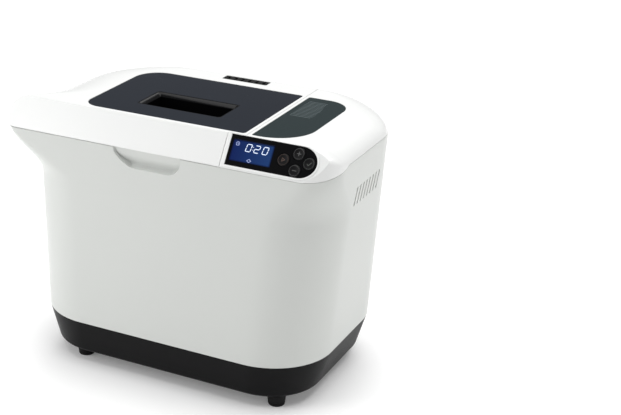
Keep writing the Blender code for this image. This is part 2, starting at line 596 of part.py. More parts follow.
# heating rod: one loop round the pan with both ends through the right wall
ew, ed, er = elementWide / 2, elementDeep / 2, 26.0
path = [(cx1 + 9, driveY - 8), (driveX + ew, driveY - 8)]
path = [(cx1 + 9, driveY - 8), (driveX + ew + 1.5, driveY - 8)]
corner = []
for qx, qy, turn in ((driveX + ew - er, driveY - ed + er, 0), (driveX - ew + er, driveY - ed + er, -90),
                     (driveX - ew + er, driveY + ed - er, -180), (driveX + ew - er, driveY + ed - er, -270)):
    for k in range(7):
        t = math.radians(turn - 90 * k / 6)
        corner.append((qx + er * math.cos(t), qy + er * math.sin(t)))
path += [(driveX + ew, driveY - 12.0)] + corner + [(driveX + ew, driveY + 12.0), (driveX + ew + 1.5, driveY + 8)]
path += [(cx1 + 9, driveY + 8)]
wire = bpy.data.curves.new("heating_element", "CURVE")
wire.dimensions = "3D"
wire.bevel_depth = elementRod / 2 * mm
wire.bevel_resolution = 2
wire.use_fill_caps = True
line = wire.splines.new("POLY")
line.points.add(len(path) - 1)
for point, (x, y) in zip(line.points, path):
    point.co = ((x + bodyShift) * mm, y * mm, elementZ * mm, 1)
rod = bpy.data.objects.new("heating_element", wire)
scene.collection.objects.link(rod)
rodMat = bpy.data.materials.new("heating_element")
rodMat.use_nodes = True
rodMat.node_tree.nodes["Principled BSDF"].inputs["Base Color"].default_value = (0.16, 0.15, 0.14, 1)
wire.materials.append(rodMat)
for k, y in enumerate((driveY - 8, driveY + 8)):
    boolean(chamber, lying(f"rod_hole_{k}", "x", (y, elementZ), elementRod / 2 + 0.5, cx1 - 6, cx1 + 6, count=20))
for side, sign in (("front", -1), ("rear", 1)):
    y = driveY + sign * ed
    clip = box(f"element_clip_{side}", driveX - 5, driveX + 5, y - 5.6, y + 5.6, chamberFloor + chamberWall + gap,
               elementZ + 6, (0.6, 0.6, 0.6), rough=0.3, metal=1)
    boolean(clip, lying(f"clip_hole_{side}", "x", (y, elementZ), elementRod / 2 + 0.4, driveX - 9, driveX + 9, count=20))
probe = lying("temperature_probe", "x", (driveY - 46, 122.0), 2.8, cx1 - 4.5, cx1 + 9, (0.7, 0.7, 0.7), rough=0.2,
              metal=1)
boolean(probe, lying("probe_nut", "x", (driveY - 46, 122.0), 5.2, cx1 + chamberWall + gap, cx1 + 5.5, count=6), "UNION")
boolean(chamber, lying("probe_hole", "x", (driveY - 46, 122.0), 3.2, cx1 - 6, cx1 + 6, count=20))
lying("thermal_fuse", "y", (cx1 + chamberWall + gap + 3.2, 150.0), 3.2, 30, 52, (0.75, 0.73, 0.66), rough=0.5)

# ---- pan seat, bearing and drive line ----
seat = turned("pan_seat", driveX, driveY, [(42, chamberFloor + chamberWall + gap), (42, chamberFloor + 4.2),
                                           (36, chamberFloor + 4.3), (36, 88.5)], (0.45, 0.45, 0.46), count=30,
              rough=0.45, metal=0.9)
boolean(seat, turned("seat_inside", driveX, driveY, [(11.6, 60), (11.6, 72.6), (31.2, 72.7), (31.2, 100)], None, count=30))
lugs = []
for k, turn in enumerate((0.0, 180.0)):
    hook = []
    for t, r in ((-5, 33.5), (5, 33.5), (5, 28.7), (-5, 28.7)):
        w = math.radians(turn + t)
        hook.append((driveX + r * math.cos(w), driveY + r * math.sin(w)))
    boolean(seat, slab(f"seat_hook_{k}", hook, 84.6, 88.5, None), "UNION")
    lug = []
    for t, r in ((-4, 30.4), (4, 30.4), (4, 26.5), (-4, 26.5)):
        w = math.radians(turn + t)
        lug.append((driveX + r * math.cos(w), driveY + r * math.sin(w)))
    lugs.append(lug)
bearing = turned("shaft_bearing", driveX, driveY, [(11.0, 50.5), (11.0, 72.0)], (0.55, 0.45, 0.2), count=24, rough=0.4,
                 metal=0.9)
boolean(bearing, turned("bearing_flange", driveX, driveY, [(16.5, chassisZ - 3.4), (16.5, chassisZ - gap)], None,
                        count=24), "UNION")
boolean(bearing, turned("bearing_bore", driveX, driveY, [(shaftRadius + shaftClear, 40), (shaftRadius + shaftClear, 90)],
                        None, count=24))
shaft = originTo(turned("drive_shaft", driveX, driveY, [(shaftRadius, 26.0), (shaftRadius, 77.6)], (0.65, 0.65, 0.66),
                        count=24, rough=0.25, metal=1), driveX, driveY, 50)


def spins(obj, parent, x=driveX, y=driveY, z=50):
    originTo(obj, x, y, z)
    obj.parent = parent
    obj.matrix_parent_inverse = Matrix.Translation(-parent.location)
    return obj


coupler = turned("drive_coupler", driveX, driveY, [(20.5, 73.4), (20.5, 75.6), (7.5, 75.7), (7.5, 77.6)],
                 (0.4, 0.4, 0.41), count=32, rough=0.4, metal=0.9)
for k, sign in enumerate((-1, 1)):
    dog = [(driveX + sign * p, driveY + q) for p, q in ((11, -3), (19, -4), (19, 4), (11, 3))]
    boolean(coupler, slab(f"dog_{k}", dog, 74.5, 84.5, None), "UNION")
boolean(coupler, turned("coupler_bore", driveX, driveY, [(shaftRadius + gap, 60), (shaftRadius + gap, 100)], None,
                        count=24))
spins(coupler, shaft)
pulley = turned("large_pulley", driveX, driveY, [(bigPulley, pulleyZ), (bigPulley, pulleyZ + 2),
                                                 (grooveBig, pulleyZ + 2.2), (grooveBig, pulleyZ + pulleyTall - 2.2),
                                                 (bigPulley, pulleyZ + pulleyTall - 2), (bigPulley, pulleyZ + pulleyTall)],
                (0.75, 0.75, 0.72), count=30, rough=0.5)
boolean(pulley, turned("pulley_dish", driveX, driveY, [(38, pulleyZ + 4), (38, 60)], None, count=26))
boolean(pulley, turned("pulley_hub", driveX, driveY, [(11, pulleyZ + 1), (11, pulleyZ + 16)], None, count=20), "UNION")
for k in range(5):
    t = 2 * math.pi * k / 5
    boolean(pulley, turned(f"pulley_window_{k}", driveX + 25 * math.cos(t), driveY + 25 * math.sin(t),
                           [(8.5, 20), (8.5, 60)], None, count=12))
boolean(pulley, turned("pulley_bore", driveX, driveY, [(shaftRadius + gap, 20), (shaftRadius + gap, 70)], None, count=24))
spins(pulley, shaft)

# motor on its bracket, turning the small pulley
motorLow = chassisZ + chassisThick + gap
bracket = slab("motor_bracket", rounded(motorX - 36, motorX + 22, motorY - 40, motorY + 40, 6, steps=3), motorLow,
               motorLow + 2.4, (0.5, 0.5, 0.5), rough=0.4, metal=1)
boolean(bracket, turned("bracket_way", motorX, motorY, [(9.5, 50), (9.5, 70)], None, count=24))
motorBase = motorLow + 2.4 + gap
motor = turned("motor_body", motorX, motorY, [(motorRadius - 3, motorBase), (motorRadius, motorBase + 3),
                                              (motorRadius, motorBase + 58), (motorRadius - 4, motorBase + 62),
                                              (12, motorBase + 62.1), (12, motorBase + 66)],
               (0.32, 0.33, 0.34), count=24, rough=0.45, metal=0.8)
boolean(motor, turned("motor_bore", motorX, motorY, [(3.5, 40), (3.5, 150)], None, count=20))
rotor = originTo(turned("motor_shaft", motorX, motorY, [(3.0, 27.0), (3.0, motorBase + 69)], (0.65, 0.65, 0.66),
                        count=20, rough=0.25, metal=1), motorX, motorY, 50)
small = turned("motor_pulley", motorX, motorY, [(smallPulley, pulleyZ), (smallPulley, pulleyZ + 2),
                                                (grooveSmall, pulleyZ + 2.2), (grooveSmall, pulleyZ + pulleyTall - 2.2),
                                                (smallPulley, pulleyZ + pulleyTall - 2),
                                                (smallPulley, pulleyZ + pulleyTall)], (0.75, 0.75, 0.72), count=24, rough=0.5)
boolean(small, turned("small_bore", motorX, motorY, [(3.0 + gap, 20), (3.0 + gap, 60)], None, count=20))
spins(small, rotor, motorX, motorY)


def beltRing(extra, z):
    """Loop round both pulleys, tangent to each."""
    dx, dy = motorX - driveX, motorY - driveY
    away = math.hypot(dx, dy)
    head = math.atan2(dy, dx)
    r1, r2 = grooveBig + gap + extra, grooveSmall + gap + extra
    lean = math.acos((r1 - r2) / away)
    ring = []
    for k in range(25):
        t = head + lean + (2 * math.pi - 2 * lean) * k / 24
        ring.append((driveX + r1 * math.cos(t), driveY + r1 * math.sin(t), z))
    for k in range(13):
        t = head - lean + 2 * lean * k / 12
        ring.append((motorX + r2 * math.cos(t), motorY + r2 * math.sin(t), z))
    return ring


beltZ = pulleyZ + (pulleyTall - beltWide) / 2
belt = loft("drive_belt", [beltRing(beltThick, beltZ), beltRing(beltThick, beltZ + beltWide)], (0.02, 0.02, 0.02),
            rough=0.7)
boolean(belt, loft("belt_inside", [beltRing(0.15, beltZ - 3), beltRing(0.15, beltZ + beltWide + 3)], None))

# ---- electrics in the right bay ----
turned("capacitor", 104.0, -58.0, [(14.5, motorLow), (15, motorLow + 1), (15, motorLow + 48), (13, motorLow + 50)],
       (0.1, 0.12, 0.16), rough=0.35, count=24)
box("heat_shield", cx1 + 13, cx1 + 14.2, -72, 72, motorLow, 232, (0.6, 0.6, 0.6), rough=0.3, metal=1)
power = box("power_board", cx1 + 18, cx1 + 19.6, -58, 52, 150, 226, (0.03, 0.16, 0.06), rough=0.5)
boolean(power, box("relay", cx1 + 19.5, cx1 + 36, -30, -8, 176, 204), "UNION")
glandOut = bodyDepth / 2 - faceLean * (glandZ - 12.5 - seamHeight) + gap
gland = lying("cord_gland", "y", (glandX, glandZ), 9.0, glandOut - 7, glandOut + 2.4, (0.02, 0.02, 0.02), rough=0.5)
boolean(gland, lying("gland_outer", "y", (glandX, glandZ), 12.5, glandOut, glandOut + 2.4), "UNION")
boolean(gland, lying("gland_bore", "y", (glandX, glandZ), 3.6, 80, 140, count=16))

# ---- bread pan, handle, shaft and paddle ----
px, py = panWide / 2, panDeep / 2


def panRing(z, grow=0.0, taper=4.0):
    t = taper * (1 - (z - panBottom) / (panTop - panBottom))
    return flat(rounded(driveX - px + t - grow, driveX + px - t + grow, driveY - py + t - grow, driveY + py - t + grow,
                        panRadius - t / 2 + grow, steps=4), z)


pan = loft("bread_pan", [panRing(panBottom, -3), panRing(panBottom + 3), panRing(panTop - 3.0)],
           (0.12, 0.12, 0.125), rough=0.35, metal=0.6)
boolean(pan, loft("pan_rim", [panRing(panTop - 3.0, 2.4, 0), panRing(panTop - 1, 3.0, 0), panRing(panTop, 2.2, 0)], None),
        "UNION")
boolean(pan, loft("pan_inside", [panRing(panBottom + panWall, -5), panRing(panBottom + 5, -panWall),
                                 panRing(panTop + 6, -panWall)], None))
boolean(pan, turned("pan_bush_way", driveX, driveY, [(7.4, 80), (7.4, 110)], None, count=24))
handleY, handleZ = driveY, panTop + 2.0
pivot = px + 4.6
for k, sign in enumerate((-1, 1)):
    ear = [(handleY - 9, panTop - 6), (handleY + 9, panTop - 6), (handleY + 6, handleZ + 5), (handleY - 6, handleZ + 5)]
    x0, x1 = sorted((driveX + sign * (px + 1.4), driveX + sign * (px + 3.2)))
    boolean(pan, prism(f"pan_ear_{k}", ear, x0, x1, None), "UNION")
    boolean(pan, lying(f"ear_hole_{k}", "x", (handleY, handleZ), handleRod / 2 + 0.1, x0 - 4, x1 + 4, count=16))
originTo(pan, driveX, driveY, panBottom)
foot = turned("pan_foot", driveX, driveY, [(28.0, 76.6), (28.0, panBottom - 1.9), (34.0, panBottom - 1.8),
                                           (34.0, panBottom - gap)], (0.5, 0.5, 0.51), count=30, rough=0.4, metal=0.9)
for k, lug in enumerate(lugs):
    boolean(foot, slab(f"pan_lug_{k}", lug, 78.0, 81.6, None), "UNION")
boolean(foot, turned("foot_inside", driveX, driveY, [(24.0, 70), (24.0, panBottom + 1)], None, count=30))
spins(foot, pan, driveX, driveY, panBottom)
handlePath = []
reach = 53.0
for sign in (1, -1):
    part = [(px - 0.9, 0.0), (pivot + 0.6, 0.0), (pivot + 1.5, 1.2), (pivot + 1.5, reach - 22)]
    for k in range(5):
        t = math.pi / 2 * k / 4
        part.append((pivot + 1.5 - 18 + 18 * math.cos(t), reach - 18 + 18 * math.sin(t)))
    part = [(driveX + sign * p, handleY + q, handleZ) for p, q in part]
    handlePath += part if sign > 0 else list(reversed(part))
bail = bpy.data.curves.new("pan_handle", "CURVE")
bail.dimensions = "3D"
bail.bevel_depth = handleRod / 2 * mm
bail.bevel_resolution = 2
bail.use_fill_caps = True
line = bail.splines.new("POLY")
line.points.add(len(handlePath) - 1)
for point, (x, y, z) in zip(line.points, handlePath):
    point.co = ((x - driveX) * mm, (y - handleY) * mm, (z - handleZ) * mm, 1)
handle = bpy.data.objects.new("pan_handle", bail)
scene.collection.objects.link(handle)
handleMat = bpy.data.materials.new("pan_handle")
handleMat.use_nodes = True
handleMat.node_tree.nodes["Principled BSDF"].inputs["Metallic"].default_value = 1
handleMat.node_tree.nodes["Principled BSDF"].inputs["Base Color"].default_value = (0.6, 0.6, 0.6, 1)
bail.materials.append(handleMat)
handle.parent = pan
handle.location = (0, 0, (handleZ - panBottom) * mm)
bush = turned("pan_bush", driveX, driveY, [(7.1, panBottom - 2.6), (7.1, panBottom + panWall + gap),
                                           (9.6, panBottom + panWall + gap + 0.01), (9.6, panBottom + 4.2),
                                           (6.5, panBottom + 6.6)], (0.5, 0.42, 0.2), count=24, rough=0.4, metal=0.9)
boolean(bush, turned("bush_bore", driveX, driveY, [(shaftRadius + shaftClear, 80), (shaftRadius + shaftClear, 110)],
                     None, count=24))
spins(bush, pan, driveX, driveY, panBottom)
stem = turned("pan_shaft", driveX, driveY, [(shaftRadius, 82.0), (shaftRadius, 126.0)], (0.65, 0.65, 0.66), count=24,
              rough=0.25, metal=1)
boolean(stem, box("stem_flat", driveX + 2.6, driveX + 8, driveY - 8, driveY + 8, panBottom + 8, 140))
spins(stem, pan, driveX, driveY, panBottom)
follower = turned("pan_coupler", driveX, driveY, [(7.0, 82.0), (7.0, panBottom - 3.4)], (0.4, 0.4, 0.41), count=24,
                  rough=0.4, metal=0.9)
boolean(follower, box("follower_bar", driveX - 2.6, driveX + 2.6, driveY - 20, driveY + 20, 79.0, 86.0), "UNION")
boolean(follower, turned("follower_bore", driveX, driveY, [(shaftRadius + gap, 81.4), (shaftRadius + gap, 100)], None,
                         count=24))
spins(follower, stem, driveX, driveY, panBottom)
paddle = turned("kneading_paddle", driveX, driveY, [(9.5, panBottom + 8.4), (9.0, 122.0), (7.6, 128.0)],
                (0.1, 0.1, 0.105), count=24, rough=0.4, metal=0.5)
blade = [(driveX + p, driveY + q) for p, q in ((4, -4), (16, -5), (30, -3.4), (37, -0.6), (37, 1.6), (28, 2.6), (14, 3.4),
                                               (4, 4))]
tall = loft("paddle_blade", [[(x, y, panBottom + 8.6) for x, y in blade],
                             [(driveX + (x - driveX) * 0.98, driveY + (y - driveY) * 0.8, 108) for x, y in blade],
                             [(driveX + (x - driveX) * 0.72, driveY + (y - driveY) * 0.6, 126) for x, y in blade]], None)
boolean(paddle, tall, "UNION")
bore = turned("paddle_bore", driveX, driveY, [(shaftRadius + gap, 90), (shaftRadius + gap, 126.4)], None, count=24)
boolean(bore, box("bore_flat", driveX + 2.6 + gap, driveX + 8, driveY - 8, driveY + 8, 80, 140))
boolean(paddle, bore)
spins(paddle, stem, driveX, driveY, panBottom)
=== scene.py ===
import json
import math

import bmesh
import bpy
from mathutils import Matrix, Vector


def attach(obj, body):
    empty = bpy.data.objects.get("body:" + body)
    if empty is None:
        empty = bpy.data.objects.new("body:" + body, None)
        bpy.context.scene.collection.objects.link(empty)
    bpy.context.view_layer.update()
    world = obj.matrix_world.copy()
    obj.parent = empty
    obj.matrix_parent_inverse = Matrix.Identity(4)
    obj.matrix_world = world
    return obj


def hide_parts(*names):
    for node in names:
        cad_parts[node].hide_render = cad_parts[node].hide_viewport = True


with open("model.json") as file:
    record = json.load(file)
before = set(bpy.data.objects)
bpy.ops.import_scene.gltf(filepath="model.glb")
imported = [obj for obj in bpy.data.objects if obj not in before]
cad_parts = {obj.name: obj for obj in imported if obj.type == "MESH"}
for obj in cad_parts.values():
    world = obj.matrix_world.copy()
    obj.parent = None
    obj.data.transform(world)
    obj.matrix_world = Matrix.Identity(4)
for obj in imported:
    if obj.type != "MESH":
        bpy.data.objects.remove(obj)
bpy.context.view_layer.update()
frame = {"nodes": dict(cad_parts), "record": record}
mm = 0.001
print("frame loaded with", len(frame["nodes"]), "nodes")

# sizes in mm; the floor is z = 0 and the front looks along -Y
body = {"shift": 5.4, "width": 345.0, "depth": 233.0, "corner": 71.5, "seam": 55.0, "height": 298.8,
        "flare": 0.07, "lean": 0.05, "wall": 2.6, "gap": 0.3, "slope": math.radians(56.7), "stripTop": -86.0,
        "roll": 10.6, "wingReach": 10.85, "wingRadius": 8.0, "wingFrom": 214.0, "wingOver": 58.0,
        "stripCorner": 36.0, "crownIn": (66.0, 47.0), "crownDown": (27.0, 25.0)}
smooth = {"corner": 18, "front": 14, "right": 8, "back": 10, "left": 26, "crown": 18}
parting = {"front": 266.9, "side": 276.9, "rise": (-106.0, -60.0), "open": 0.7}
lidEdge = {"top": 84.0, "strip": 64.0, "step": -84.6, "gap": 0.6}
hingeY = body["depth"] / 2 - body["lean"] * (body["height"] - body["roll"] - body["seam"]) - body["roll"]
hingeZ = body["height"] - body["roll"]
top = body["height"]
shapes = bpy.context.scene.collection


# mesh building
def ease(t):
    t = min(max(t, 0.0), 1.0)
    return t * t * (3 - 2 * t)


def newObject(name, points, faces):
    mesh = bpy.data.meshes.new(name)
    mesh.from_pydata([((x + body["shift"]) * mm, y * mm, z * mm) for x, y, z in points], [], faces)
    work = bmesh.new()
    work.from_mesh(mesh)
    bmesh.ops.remove_doubles(work, verts=work.verts, dist=1e-6)
    bmesh.ops.recalc_face_normals(work, faces=work.faces)
    if work.calc_volume(signed=True) < 0:
        bmesh.ops.reverse_faces(work, faces=work.faces)
    work.to_mesh(mesh)
    work.free()
    obj = bpy.data.objects.new(name, mesh)
    shapes.objects.link(obj)
    return obj


def loft(name, rings, split=False):
    count = len(rings[0])
    points = [p for ring in rings for p in ring]
    faces = [tuple(reversed(range(count)))]
    for level in range(len(rings) - 1):
        low, high = level * count, (level + 1) * count
        for i in range(count):
            j = (i + 1) % count
            if split:
                faces += [(low + i, low + j, high + j), (low + i, high + j, high + i)]
            else:
                faces.append((low + i, low + j, high + j, high + i))
    last = (len(rings) - 1) * count
    faces.append(tuple(range(last, last + count)))
    return newObject(name, points, faces)


def joined(name, objects):
    work = bmesh.new()
    for obj in objects:
        work.from_mesh(obj.data)
        bpy.data.objects.remove(obj, do_unlink=True)
    mesh = bpy.data.meshes.new(name)
    work.to_mesh(mesh)
    work.free()
    obj = bpy.data.objects.new(name, mesh)
    shapes.objects.link(obj)
    return obj


def bakeIn(obj):
    graph = bpy.context.evaluated_depsgraph_get()
    mesh = bpy.data.meshes.new_from_object(obj.evaluated_get(graph))
    if obj.type == "MESH":
        obj.modifiers.clear()
        obj.data = mesh
        return obj
    made = bpy.data.objects.new(obj.name + "Mesh", mesh)
    made.matrix_world = obj.matrix_world
    shapes.objects.link(made)
    bpy.data.objects.remove(obj, do_unlink=True)
    return made


def cut(obj, tool, how="DIFFERENCE"):
    mod = obj.modifiers.new("cut", "BOOLEAN")
    mod.operation, mod.solver, mod.object = how, "EXACT", tool
    bakeIn(obj)
    bpy.data.objects.remove(tool, do_unlink=True)
    return obj


def rounded(x0, x1, y0, y1, radius, steps=10):
    r = radius if isinstance(radius, (tuple, list)) else (radius,) * 4
    out = []
    for cx, cy, rad, turn in ((x1 - r[0], y0 + r[0], r[0], -90), (x1 - r[1], y1 - r[1], r[1], 0),
                              (x0 + r[2], y1 - r[2], r[2], 90), (x0 + r[3], y0 + r[3], r[3], 180)):
        for k in range(steps + 1):
            a = math.radians(turn + 90 * k / steps)
            out.append((cx + rad * math.cos(a), cy + rad * math.sin(a)))
    return out


def grownBox(box, radius, by, steps=10):
    r = radius if isinstance(radius, (tuple, list)) else (radius,) * 4
    x0, x1, y0, y1 = box
    return rounded(x0 - by, x1 + by, y0 - by, y1 + by, [max(q + by, 0.05) for q in r], steps)


def flat(ring, z):
    return [(x, y, z) for x, y in ring]


def slab(name, ring, z0, z1):
    return loft(name, [flat(ring, z0), flat(ring, z1)])


def turned(name, cx, cy, profile, count=48):
    spin = [2 * math.pi * k / count for k in range(count)]
    return loft(name, [[(cx + max(r, 0.01) * math.cos(t), cy + max(r, 0.01) * math.sin(t), z) for t in spin]
                       for r, z in profile])


def prism(name, section, x0, x1):
    return loft(name, [[(x0, y, z) for y, z in section], [(x1, y, z) for y, z in section]])


def roundBar(name, axis, centre, radius, a, b, count=32):
    rings = []
    for at in (a, b):
        ring = []
        for k in range(count):
            t = 2 * math.pi * k / count
            u, v = centre[0] + radius * math.cos(t), centre[1] + radius * math.sin(t)
            ring.append((at, u, v) if axis == "x" else (u, at, v))
        rings.append(ring)
    return loft(name, rings)


def onStrip(x, s, out=0.0):
    c, n = math.cos(body["slope"]), math.sin(body["slope"])
    return x, body["stripTop"] - s * c - out * n, top - s * n + out * c


def stripLoft(name, outlines, heights):
    return loft(name, [[onStrip(x, s, h) for x, s in ring] for ring, h in zip(outlines, heights)])


# the outer shape shared by shell, lid and deck
def plan(side, front, back, radii, reach, power, leftSide=None):
    left = side if leftSide is None else leftSide
    fr, br, bl, fl = radii
    pts = []

    def line(p, q, count):
        pts.extend((p[0] + (q[0] - p[0]) * k / count, p[1] + (q[1] - p[1]) * k / count) for k in range(count))

    def arc(cx, cy, rad, turn):
        for k in range(smooth["corner"]):
            t = math.radians(turn + 90 * k / smooth["corner"])
            pts.append((cx + rad * math.cos(t), cy + rad * math.sin(t)))
    line((-left - reach + fl, -front), (side - fr, -front), smooth["front"])
    arc(side - fr, -front + fr, fr, -90)
    line((side, -front + fr), (side, back - br), smooth["right"])
    arc(side - br, back - br, br, 0)
    line((side - br, back), (-left + bl, back), smooth["back"])
    arc(-left + bl, back - bl, bl, 90)
    first, last = back - bl, -front + fl
    for k in range(smooth["left"]):
        t = k / smooth["left"]
        pts.append((-left - reach * ease(t) ** power, first + (last - first) * t))
    arc(-left - reach + fl, -front + fl, fl, 180)
    return pts


def halves(z, shrink):
    return (body["width"] / 2 + body["flare"] * (z - body["seam"]) - shrink,
            body["depth"] / 2 - body["lean"] * (z - body["seam"]) - shrink)


def outline(z, shrink=0.0):
    a, b = halves(z, shrink)
    grow = ease((z - body["wingFrom"]) / body["wingOver"])
    corner = body["corner"]
    radii = (corner + (body["stripCorner"] - corner) * grow, corner, corner,
             corner + (body["wingRadius"] - corner) * grow)
    return plan(a, b, b, [r - shrink for r in radii], body["wingReach"] * grow, 1.5)


def crown(shrink):
    a, b = halves(top - 26, shrink)
    inLeft, inRight = body["crownIn"]
    radii = (body["stripCorner"] - 10, body["corner"] - 8, body["corner"] - 4, body["wingRadius"] - 2)
    edge = plan(a - inRight, b - 4, b - body["roll"], [r - shrink for r in radii],
                inLeft + body["wingReach"] - 13.5, 3.0, a - inLeft)
    drop = []
    for x, y in outline(top - 26):
        side, frontal = ease((abs(x) - 96.0) / 78.0), ease((-y - 62.0) / 36.0)
        deep = body["crownDown"][0 if x < 0 else 1]
        drop.append(deep * side * (1 - 0.55 * frontal) + body["roll"] * (1 - side) * (1 if y > 0 else 0.5))
    return edge, drop


def envelope(name, levels, shrink=0.0):
    edge, drop = crown(shrink)
    start = top - 31.5
    rings = [flat(outline(z, shrink), z) for z in levels if z < start - 1]
    rings.append(flat(outline(start, shrink), start))
    low = outline(top - 26, shrink)
    for k in range(smooth["crown"] + 1):
        t = math.pi / 2 * k / smooth["crown"]
        rings.append([(ex + (ox - ex) * math.cos(t), ey + (oy - ey) * math.cos(t), top - shrink - d + d * math.sin(t))
                      for (ox, oy), (ex, ey), d in zip(low, edge, drop)])
    return loft(name, rings, split=True)


def stripSide(name, inward=0.0):
    c, s = math.cos(body["slope"]), math.sin(body["slope"])
    y0, z0 = body["stripTop"] + inward * s, top - inward * c
    section = [(y0 + 40 * c, z0 + 40 * s), (y0 - 90 * c, z0 - 90 * s),
               (y0 - 90 * c - 60 * s, z0 - 90 * s + 60 * c), (y0 + 40 * c - 60 * s, z0 + 40 * s + 60 * c)]
    return prism(name, section, -260, 260)


def steppedSide(name, shift, sideways, z0):
    far = 260 if sideways > 0 else -260
    x0, x1, y = lidEdge["strip"] + shift, lidEdge["top"] + shift, lidEdge["step"] - shift
    line = [(far, -150 - shift), (x0, -150 - shift), (x0, y), (x1, y), (x1, 150 + shift), (far, 150 + shift)]
    return slab(name, line, z0, 340 + shift)


def partingLine(lift):
    (a, b), front, side = parting["rise"], parting["front"] + lift, parting["side"] + lift
    return [(-150, front), (a, front), (b, side), (150, side)]


# shader nodes
class Wire:
    def __init__(self, tree, socket):
        self.tree, self.socket = tree, socket

    def maths(self, operation, other=None, swap=False):
        node = self.tree.nodes.new("ShaderNodeMath")
        node.operation = operation
        pair = [self] if other is None else [other, self] if swap else [self, other]
        for place, value in enumerate(pair):
            if isinstance(value, Wire):
                self.tree.links.new(value.socket, node.inputs[place])
            else:
                node.inputs[place].default_value = value
        return Wire(self.tree, node.outputs[0])

    def __add__(self, other):
        return self.maths("ADD", other)

    def __sub__(self, other):
        return self.maths("SUBTRACT", other)

    def __rsub__(self, other):
        return self.maths("SUBTRACT", other, True)

    def __mul__(self, other):
        return self.maths("MULTIPLY", other)

    def __gt__(self, other):
        return self.maths("GREATER_THAN", other)

    def __lt__(self, other):
        return self.maths("LESS_THAN", other)
    __radd__, __rmul__ = __add__, __mul__


class Finish:
    def __init__(self, name, **constants):
        self.material = bpy.data.materials.new(name)
        self.material.use_nodes = True
        self.tree = self.material.node_tree
        self.shader = self.tree.nodes["Principled BSDF"]
        for key, value in constants.items():
            self.feed(key.replace("_", " "), value)
        self.place = self.node("ShaderNodeTexCoord", output="Object")

    def link(self, socket, value):
        if isinstance(value, Wire):
            self.tree.links.new(value.socket, socket)
        elif hasattr(socket.default_value, "__len__") and len(socket.default_value) == 4 and len(value) == 3:
            socket.default_value = (*value, 1)
        else:
            socket.default_value = value

    def feed(self, name, value):
        self.link(self.shader.inputs[name], value)

    def node(self, kind, settings=None, output=0, **sockets):
        node = self.tree.nodes.new(kind)
        for key, value in (settings or {}).items():
            if key == "stops":
                ramp = node.color_ramp
                while len(ramp.elements) < len(value):
                    ramp.elements.new(0.5)
                for element, (at, colour) in zip(ramp.elements, value):
                    element.position, element.color = at, (*colour, 1)
            else:
                setattr(node, key, value)
        for key, value in sockets.items():
            self.link(node.inputs[int(key[1:]) if key[1:].isdigit() else key.replace("_", " ")], value)
        return Wire(self.tree, node.outputs[output])

    def noise(self, scale, detail=3.0, rough=0.5, stretch=None):
        where = self.place
        if stretch:
            where = self.node("ShaderNodeVectorMath", {"operation": "MULTIPLY"}, i0=where, i1=stretch)
        return self.node("ShaderNodeTexNoise", Vector=where, Scale=scale, Detail=detail, Roughness=rough)

    def mix(self, factor, first, second):
        return self.node("ShaderNodeMix", {"data_type": "RGBA"}, output=2, i0=factor, i6=first, i7=second)

    def bump(self, height, strength, distance):
        self.feed("Normal", self.node("ShaderNodeBump", Height=height, Strength=strength, Distance=distance))

    def axes(self):
        return [self.node("ShaderNodeSeparateXYZ", output=k, Vector=self.place) for k in range(3)]


def moulded(name, look):
    made = Finish(name, IOR=1.48, Specular_IOR_Level=look.get("gleam", 0.5))
    cloud, grain = made.noise(look["cloud"], 4.0), made.noise(look["grain"], 2.0)
    made.feed("Base Color", made.mix(cloud, look["colour"], [c * look["deep"] for c in look["colour"]]))
    made.feed("Roughness", look["rough"] + (cloud - 0.5) * 0.12 + (grain - 0.5) * 0.06)
    made.bump(grain, look["bump"], 0.0002)
    for key, value in look.get("fixed", {}).items():
        made.feed(key, value)
    return made.material


def worked(name, look):
    made = Finish(name, Metallic=look.get("metal", 1.0))
    streak, cloud = made.noise(look["scale"], 3.0, 0.6, look["stretch"]), made.noise(14.0, 4.0)
    made.feed("Base Color", made.mix(streak, look["colour"], [c * look["deep"] for c in look["colour"]]))
    made.feed("Roughness", look["rough"] + (streak - 0.5) * 0.18 + (cloud - 0.5) * 0.12)
    made.bump(streak, look["bump"], 0.0002)
    return made.material


